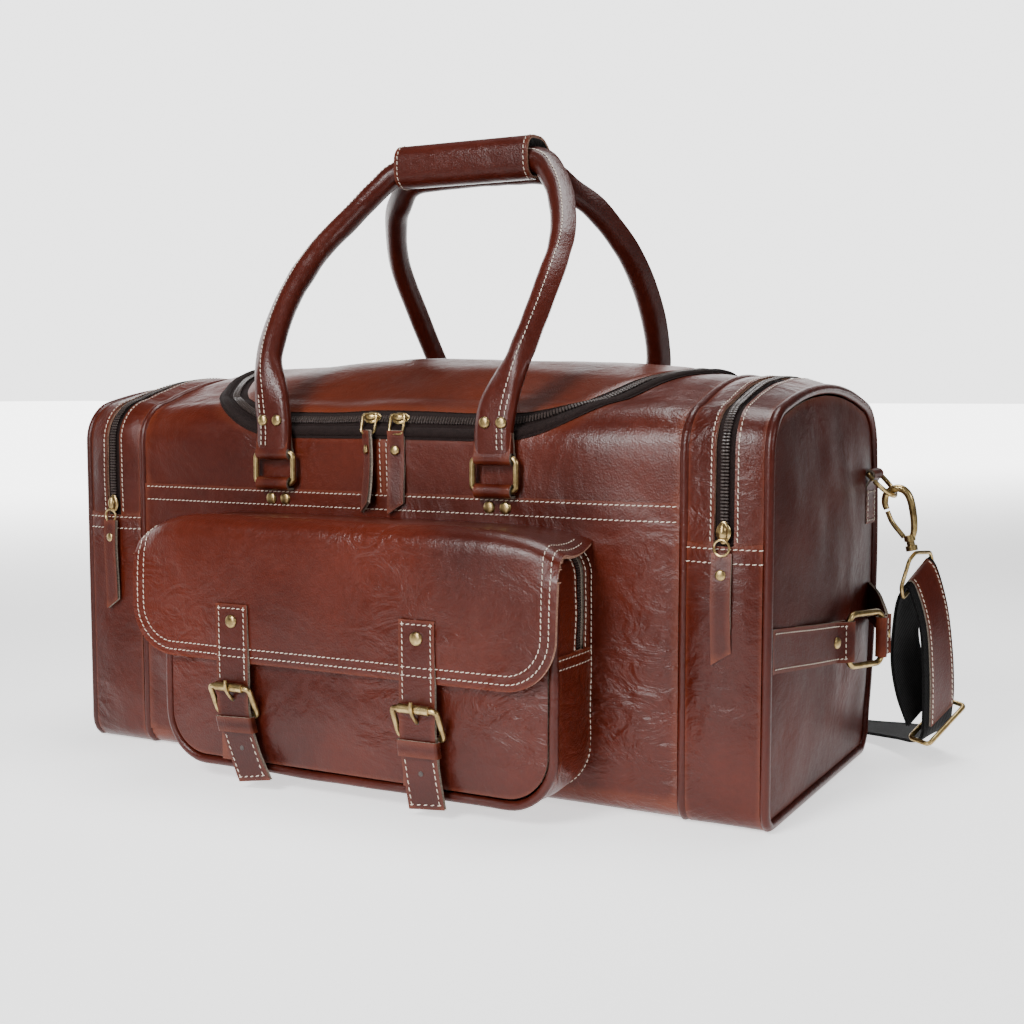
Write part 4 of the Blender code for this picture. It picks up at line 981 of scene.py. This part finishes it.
def grip_cover():
    y, z = FRONT_GRIP
    radius = 0.0123
    crest = z + 0.0052 + radius - 0.0012
    line = [(y + 0.0100, z - 0.0135), (y + 0.0040, z - 0.0158)]
    line += arc((y, z - 0.0040), radius, radians(260), radians(180), 8)
    line += arc((y, z + 0.0040), radius, radians(180), radians(90), 10)
    line = resample(line + [(y + 0.0108, crest + 0.0002)], count=34)
    half = 0.0575
    look = {"top": STRAP_HIDE, "rim": PALE_EDGE, "flip": True}
    sheet("grip_leather", band(line, 0, half, 40), 0.0022, "front_handle", ["grip_wrap"], **look)
    free = [(0.0108, 0.0002), (0.0175, -0.0018), (0.0260, -0.0080), (0.0330, -0.0155)]
    free = resample(curve([(y + a, crest + b) for a, b in free], 8), count=20)
    sheet("grip_flap_leather", band(free, 0, half, 40), 0.0022, "grip_flap", ["grip_flap"], **look)
    for body, path in (("front_handle", line), ("grip_flap", free)):
        flat = np.stack([path[:, 0] * 0, path[:, 0], path[:, 1]], 1)
        normal = np.cross(unit(np.gradient(flat, axis=0)), (1.0, 0, 0))
        outside = np.sum(normal * (flat - (0, y + 0.006, z)), axis=1, keepdims=True) > 0
        normal = np.where(outside, normal, -normal)
        for x in (-half + 0.003, half - 0.003):
            stitch(body, (flat + (x, 0, 0) + normal * 0.0001)[2:-2], normal[2:-2])


# ---- zip sliders and their pulls ----
def pull_tab(name, node_name, top, length, tilt, back, half=0.0063):
    """A hanging strip of leather with a slanted tip and a rivet; its wire ring is made with the slider."""
    x, y, z = top
    rows = []
    for t in np.linspace(0, 1, 24):
        slant = max(t - 0.8, 0) / 0.2
        bow = 0.0008 * sin(t * 5 + x * 60) - back * sin(pi * t)
        rows.append([(x + w * half * cos(tilt) + 0.05 * tilt * t * length, y + w * half * sin(tilt) + bow,
                      z - length * t + 0.0040 * slant * w) for w in np.linspace(-1, 1, 5)])
    strap(name, rows, 0.0024, node_name, [node_name])
    rivet(node_name, (x, y - back * 0.4 - 0.0002, z - 0.0135), (sin(tilt), -cos(tilt), 0), 0.0034, 0.0014)


def slider(name, node_name, centre, up, face):
    """Zip slider: a rounded body with a domed bridge. Up runs along the zip."""
    centre, up, face = np.array(centre), unit(np.array(up, float)), unit(np.array(face, float))
    for part, offset, length, width, height in (("base", 0.0, 0.0140, 0.0098, 0.0027),
                                                ("bridge", 0.0016, 0.0118, 0.0066, 0.0058)):
        path = [centre + up * length * (t - 0.5) + face * offset for t in np.linspace(0, 1, 9)]
        sizes = [sin(pi * (0.06 + 0.88 * t)) ** 0.8 / 2 for t in np.linspace(0, 1, 9)]
        rings = [np.array(circle(k, 16)) * (width, height) for k in sizes]
        more = [node_name] if part == "base" else []
        sweep(f"{name}_{part}", path, face, rings, [BRASS], node_name, more, sharp=60)


def sliders():
    for side, sign in SIDES:
        x = sign * 0.0115
        point, normal = BODY.at(x, TEETH[1], 0.0022)
        slider(f"slider_main_{side}", f"main_slider_{side}", point, (1, 0, 0), normal)
        ring = [point + normal * 0.0022 + np.array((a, -0.0032 + 0.25 * b, b - 0.0054)) for a, b in
                rounded_box(0.0056, -0.0068, 0.0068, 0.003, 0.002, 0, 5)]
        wire(f"slider_ring_{side}", ring, (0, 1, 0.3), 0.0009, f"main_pull_{side}", sides=8)
        y, tilt = (-0.1312, 0.10) if sign > 0 else (-0.1326, -0.62)
        top = (x, y, point[2] - 0.0085)
        pull_tab(f"pull_leather_{side}", f"main_pull_{side}", top, 0.0540, tilt, -0.0012)
        x = sign * END_ZIP_X
        point, normal = BODY.at(x, s_front(END_ZIP_Z + 0.0075), 0.0006)
        slider(f"slider_end_{side}", f"end_slider_{side}", point, (0, 0, 1), normal)
        ring = [point + np.array((a, -0.0032 - 0.10 * abs(b), b - 0.0092)) for a, b in circle(0.0050, 24)]
        wire(f"slider_ring_end_{side}", ring, (0, 1, 0.1), 0.0008, f"end_pull_{side}", sides=8)
        top = (x, point[1] - 0.0040, point[2] - 0.0125)
        pull_tab(f"pull_leather_end_{side}", f"end_pull_{side}", top, 0.0660, 0.1 * sign, 0.0010)


# ---- end fittings ----
GRAB_RING, GRAB_ALONG, GRAB_HALF = np.array((0.3025, 0.0150)), unit(np.array((0.47, 0.88))), 0.0165
GRAB_Z = 0.1045
STRAP_ROUTE = [
    ((0.3210, 0.1130, 0.0365), (0.34, 0.80, 0.48)), ((0.3135, 0.1100, 0.0580), (0.30, 0.82, 0.48)),
    ((0.3085, 0.1090, 0.0830), (0.25, 0.85, 0.48)), ((0.3090, 0.1095, 0.1080), (0.25, 0.85, 0.48)),
    ((0.3117, 0.1110, 0.1320), (0.25, 0.85, 0.48)), ((0.3168, 0.1110, 0.1410), (0.25, 0.85, 0.48)),
    ((0.3222, 0.1115, 0.1330), (0.25, 0.85, 0.48)), ((0.3290, 0.1125, 0.1080), (0.25, 0.85, 0.48)),
    ((0.3325, 0.1130, 0.0760), (0.30, 0.82, 0.48)), ((0.3335, 0.1140, 0.0480), (0.34, 0.80, 0.46)),
    ((0.3325, 0.1160, 0.0290), (0.36, 0.80, 0.40)), ((0.3270, 0.1230, 0.0185), (0.45, 0.75, 0.22)),
    ((0.3120, 0.1400, 0.0130), (0.60, 0.72, 0.14)), ((0.2850, 0.1620, 0.0080), (0.50, 0.84, 0.08)),
    ((0.2400, 0.1860, 0.0030), (0.35, 0.94, 0.0)), ((0.1600, 0.2120, 0.0020), (0.22, 0.98, 0.0)),
    ((0.0700, 0.2270, 0.0020), (0.08, 1.0, 0.0)), ((-0.0300, 0.2290, 0.0020), (-0.06, 1.0, 0.0)),
    ((-0.1300, 0.2190, 0.0020), (-0.18, 0.98, 0.0)), ((-0.2200, 0.1960, 0.0030), (-0.34, 0.94, 0.0)),
    ((-0.2800, 0.1660, 0.0080), (-0.50, 0.84, 0.08)), ((-0.3150, 0.1380, 0.0220), (-0.50, 0.80, 0.25)),
    ((-0.3290, 0.1200, 0.0480), (-0.35, 0.82, 0.40)), ((-0.3280, 0.1130, 0.0820), (-0.25, 0.85, 0.48)),
    ((-0.3220, 0.1110, 0.1110), (-0.25, 0.85, 0.48)), ((-0.3165, 0.1105, 0.1240), (-0.25, 0.85, 0.48)),
]
LEATHER_FROM, LEATHER_TO = 5, 9
HOOK_AXIS, HOOK_TOP = np.array((0.219, 0.0, -0.976)), np.array((0.2999, 0.100, 0.2030))
HOOK_OUT = np.array((-HOOK_AXIS[2], 0, HOOK_AXIS[0]))


def ribbon(path, side, width, lift, columns):
    """Grid of a strap's face along a path, with its width directions."""
    ahead = unit(np.gradient(path, axis=0))
    side = unit(side)
    face = np.cross(ahead, side)
    stretch = 1 / np.linalg.norm(face, axis=1, keepdims=True)
    face = unit(face)
    ws = np.linspace(-0.5, 0.5, columns)
    grid = path[:, None] + (side * stretch)[:, None] * (ws[None, :, None] * width) + face[:, None] * lift
    return grid, face


def grab_strap(side, sign):
    """Two short straps, each folded round one bar of the wire ring between them."""
    flip, out_way = np.array((sign, 1, 1)), np.array((GRAB_ALONG[1], -GRAB_ALONG[0]))
    for part, way, start in (("front", 1, [(0.2795, -0.1205), (0.2822, -0.0950), (0.2875, -0.0560)]),
                             ("rear", -1, [(0.2797, 0.1190), (0.2930, 0.0930), (0.3040, 0.0640)])):
        bar = GRAB_RING - way * GRAB_ALONG * GRAB_HALF
        turn = [bar + out_way * a + way * GRAB_ALONG * b for a, b in arc((0, 0), 0.0044, -0.1, pi, 11)]
        before = bar + out_way * 0.0042 + (GRAB_ALONG * -0.016 if way > 0 else (-0.0030, 0.0165))
        plan = curve(start + [tuple(before)], 10)
        plan = np.concatenate([plan, turn, [bar - out_way * 0.0042 - way * GRAB_ALONG * 0.012]])
        plan = resample(plan, pitch=0.0022)
        climb = np.clip(((GRAB_RING[1] - plan[:, 1]) * way - 0.02) / 0.11, 0, 1)
        z = GRAB_Z + (0.0100 if way > 0 else 0.0160) * climb
        line = np.stack([plan[:, 0], plan[:, 1], z], 1) * flip
        grid = np.array([[p + (0, 0, w) for w in np.linspace(-0.014, 0.014, 7)] for p in line])
        more = [f"grab_strap_{side}"] if part == "front" else []
        sheet(f"grab_leather_{part}_{side}", grid, 0.0020, "bag", more, top=END_STRAP, under=END_STRAP,
              rim=EDGE, flip=(sign < 0) != (part == "rear"))
        bar_at = int(np.argmin(np.linalg.norm(plan - (bar + out_way * 0.0044), axis=1)))
        for w in (-0.0112, 0.0112):
            stitch("bag", (line + (sign * 0.0003, 0, w))[2:bar_at - 2], (sign, 0, 0))
        row = np.array([line[bar_at - 3] + (sign * 0.0003, 0, w) for w in np.linspace(-0.0105, 0.0105, 10)])
        stitch("bag", row, (sign, 0, 0))
        rivet("bag", line[bar_at - 7] + (sign * 0.0002, 0, 0), (sign, -0.3 * way, 0), 0.0040, 0.0018)
    ring = [np.array((*(GRAB_RING + GRAB_ALONG * a), GRAB_Z + b)) * flip for a, b in
            rounded_box(GRAB_HALF, -0.0180, 0.0180, 0.006, 0.006)]
    wire(f"grab_wire_{side}", ring, (out_way[0] * sign, out_way[1], 0), 0.0022, "bag", [f"grab_ring_{side}"])


def d_ring(side, sign):
    """The ring, hanging outwards from its tab."""
    flip = np.array((sign, 1, 1))
    px, pz = 0.2852, 0.2140
    tab = [(0.2810, 0.1765), (0.2832, 0.1775), (0.2834, 0.2050)]
    tab += arc((px, pz), 0.0042, radians(-70), radians(200), 14)
    grid = [[(sign * a, 0.100 + w, b) for w in np.linspace(-0.0128, 0.0128, 6)] for a, b in tab]
    sheet(f"dring_leather_{side}", grid, 0.0016, "bag", [f"dring_tab_{side}"], top=END_STRAP, rim=EDGE,
          flip=sign > 0)
    corners = [(0.090, 0.180), (0.110, 0.180), (0.110, 0.201), (0.090, 0.201)]
    for start, end in ((0, 1), (3, 2), (0, 3), (1, 2)):
        row = np.linspace(corners[start], corners[end], 9)
        stitch("bag", [(sign * 0.2836, y, z) for y, z in row], (sign, 0, 0))

    hang = np.array((sin(radians(45)), 0, -cos(radians(45))))
    bow = [(-0.0155 * cos(a), 0.006 + 0.016 * sin(a)) for a in np.linspace(0, pi, 20)]
    bow = resample([(-0.0155, 0.0), *bow, (0.0155, 0), (0.0, 0.0)], count=60, closed=True)
    pivot = np.array((px, 0.100, pz))
    points = [(pivot + np.array((0, a, 0)) + hang * b) * flip for a, b in bow]
    wire(f"dring_wire_{side}", points, hang * flip + (0, 0.01, 0), 0.0018, f"dring_{side}", [f"dring_{side}"])


def snap_hook(side, sign):
    """The hook's wire, its swivel and its sprung gate."""
    spot = lambda across, down: (HOOK_TOP + HOOK_OUT * across + HOOK_AXIS * down) * (sign, 1, 1)
    stem = curve([(0.0045, 0.0400), (0.0085, 0.0330), (0.0105, 0.0220), (0.0105, 0.0085), (0.0070, 0.0015),
                  (0.0010, -0.0004), (-0.0056, 0.0022), (-0.0082, 0.0085), (-0.0078, 0.0135)], 6)
    sizes = 0.0022 + 0.0007 * np.sin(np.linspace(0, pi, len(stem)))
    sweep(f"hook_wire_{side}", [spot(a, b) for a, b in stem], (0, 1, 0), [circle(r, 12) for r in sizes],
          [BRASS], f"hook_{side}", [f"snap_hook_{side}"])
    collar = [(0.0045, d) for d in (0.0350, 0.0352, 0.0395, 0.0400, 0.0425, 0.0430, 0.0468, 0.0470)]
    sweep(f"hook_swivel_{side}", [spot(a, b) for a, b in collar], (0, 1, 0),
          [circle(r, 16) for r in (0.0030, 0.0042, 0.0042, 0.0030, 0.0030, 0.0044, 0.0044, 0.0030)], [BRASS],
          f"hook_{side}", sharp=30)
    gate = [spot(-0.0076, 0.0150), spot(-0.0056, 0.0240), spot(0.0006, 0.0362)]
    wire(f"gate_wire_{side}", curve(gate, 6), (0, 1, 0), 0.0019, f"hook_gate_{side}", [f"hook_gate_{side}"],
         closed=False)


def wire_loop(side, sign):
    """Trapezoid loop between the hook's swivel and the shoulder strap."""
    flip = np.array((sign, 1, 1))
    across = unit(np.array((0.25 * sign, 0.85, 0.48)))
    foot = np.array((0.3167, 0.1110, 0.1355)) * flip
    crown = (HOOK_TOP + HOOK_OUT * 0.0045 + HOOK_AXIS * 0.0478) * flip + (0, 0, -0.0033)
    up = crown - foot
    up = unit(up - across * (up @ across))
    loop = [foot - across * 0.0245, foot + across * 0.0245, foot + across * 0.0240 + up * 0.0090,
            crown + across * 0.0050, crown - across * 0.0050, foot - across * 0.0240 + up * 0.0090]
    return wire(f"loop_wire_{side}", rounded(loop, 0.0028, 5), np.cross(across, up), 0.0015, "bag",
                [f"strap_loop_{side}"], sides=10)


def shoulder_strap():
    steps = 12
    path = curve([p for p, _ in STRAP_ROUTE], steps)
    across = curve([w for _, w in STRAP_ROUTE], steps)
    grid, face = ribbon(path, across, 0.038, 0.0012, 9)
    grid[:, (0, -1)] -= face[:, None] * 0.0006
    belt = sheet("strap_webbing", grid, 0.0024, "bag", ["shoulder_webbing"], top=WEBBING, under=WEBBING,
                 rim=WEBBING)
    part = slice(LEATHER_FROM * steps, LEATHER_TO * steps + 9)
    cover_grid, cover_face = ribbon(path, across, 0.028, 0.0032, 7)
    cover = strap("strap_cover", cover_grid[part], 0.0016, "bag", ["shoulder_leather"])
    for column in (0, -1):
        row = cover_grid[part][:, column] * 0.88 + cover_grid[part][:, 3] * 0.12
        stitch("bag", row[4:-2], cover_face[part][4:-2])
    middle = np.array((0.3325, 0.1158, 0.0290))
    a1, t1 = unit(np.array((0.36, 0.80, 0.47))), unit(np.array((0.87, -0.30, -0.15)))
    ring = [middle + a1 * a + t1 * b for a, b in rounded_box(0.0245, -0.0080, 0.0080, 0.003, 0.003)]
    buckle = wire("adjuster_wire", ring, np.cross(a1, t1), 0.0018, "bag", ["strap_adjuster"])


# ---- stage, light and camera ----
def lamp(name, place, target, size, power, spread=75):
    data = bpy.data.lights.new(name, "AREA")
    data.shape, data.size, data.energy, data.spread = "DISK", size, power, radians(spread)
    made = bpy.data.objects.new(name, data)
    made.location = place
    aim = np.array(target, float) - np.array(place, float)
    made.rotation_euler = Vector(aim).to_track_quat("-Z", "Y").to_euler()
    bpy.context.scene.collection.objects.link(made)


BEHIND, LEFT_OF_VIEW = (-0.80, 0.60, 0.0), (-0.673, -0.740, 0.0)


def stage():
    scene = bpy.context.scene
    data = bpy.data.cameras.new("camera")
    data.lens, data.sensor_width = 50.16, 36.0
    camera = bpy.data.objects.new("camera", data)
    camera.location = (0.5453, -0.9622, 0.2735)
    camera.rotation_euler = (radians(85.265), 0, radians(28.01))
    scene.collection.objects.link(camera)
    scene.camera = camera

    # The studio's walls: bright behind the bag and low down, dark elsewhere, which gives the leather depth.
    world = bpy.data.worlds.new("studio")
    world.use_nodes = True
    tree = world.node_tree
    way = node(tree, "TexCoord").outputs["Generated"]
    wall = span(tree, operate(tree, "VectorMath", "DOT_PRODUCT", way, BEHIND), 0.0, 3.0, 0.56, 0.70, True)
    height = span(tree, node(tree, "SeparateXYZ", Vector=way).outputs["Z"], 1.0, 0.0, 0.30, 0.48, True)
    glow = operate(tree, "Math", "MULTIPLY_ADD", wall, height, 0.12)
    fill(tree, tree.nodes["Background"], Color=(1, 1, 1, 1), Strength=glow)
    scene.world = world

    # A pale floor, lit a little from within where the camera sees it and dark where only the leather does.
    paper, tree, shader, place = blank("floor_paper", 0.9)
    parts = node(tree, "SeparateXYZ", Vector=place).outputs
    far_glow = span(tree, operate(tree, "VectorMath", "DOT_PRODUCT", place, BEHIND), 0.0, 4.0, 0.5, 3.4, True)
    right = span(tree, parts["X"], 1.0, 0.05, 0.50, 0.85, True)
    ahead = span(tree, parts["Y"], 0.05, 1.1, -0.90, -0.62, True)
    left = operate(tree, "VectorMath", "DOT_PRODUCT", place, LEFT_OF_VIEW)
    near = operate(tree, "Math", "MULTIPLY", right, span(tree, left, 1.0, 0.05, 0.36, 0.52, True))
    tone = ramp(tree, noise(tree, place, 3.0, 2.0), (0.3, (0.90,) * 3), (0.7, (0.92,) * 3))
    fill(tree, shader, Base_Color=tone, Emission_Color=(1, 1, 1, 1), Specular_IOR_Level=0.0,
         Emission_Strength=operate(tree, "Math", "MULTIPLY_ADD", near, ahead, far_glow))
    floor = bpy.data.meshes.new("floor")
    floor.from_pydata([(-40, -40, 0), (40, -40, 0), (40, 40, 0), (-40, 40, 0)], [], [(0, 1, 2, 3)])
    floor.materials.append(paper)
    ground = bpy.data.objects.new("floor", floor)
    ground.location.z = -0.0006
    scene.collection.objects.link(ground)

    lamp("key", (-0.20, -1.8, 1.40), (0.08, 0, 0.15), 0.8, 8.5)
    lamp("front", (-0.25, -2.3, 0.60), (0.1, 0, 0.15), 0.8, 3.4)
    lamp("side", (1.9, -0.6, 1.0), (0.2, 0, 0.15), 0.5, 1.9)
    lamp("top", (0.1, 0.3, 1.9), (0, 0, 0.2), 1.0, 11, 110)


# ---- the bag ----
stage()
main_compartment()
for side, sign in SIDES:
    end_pocket(side, sign)
    grab_strap(side, sign)
    d_ring(side, sign)
    snap_hook(side, sign)
    wire_loop(side, sign)
front_pocket()
flap_and_straps()
handle("front", -1, FRONT_GRIP, "front_handle")
handle("rear", 1, REAR_GRIP, "rear_handle")
grip_cover()
sliders()
shoulder_strap()
build_gathered()
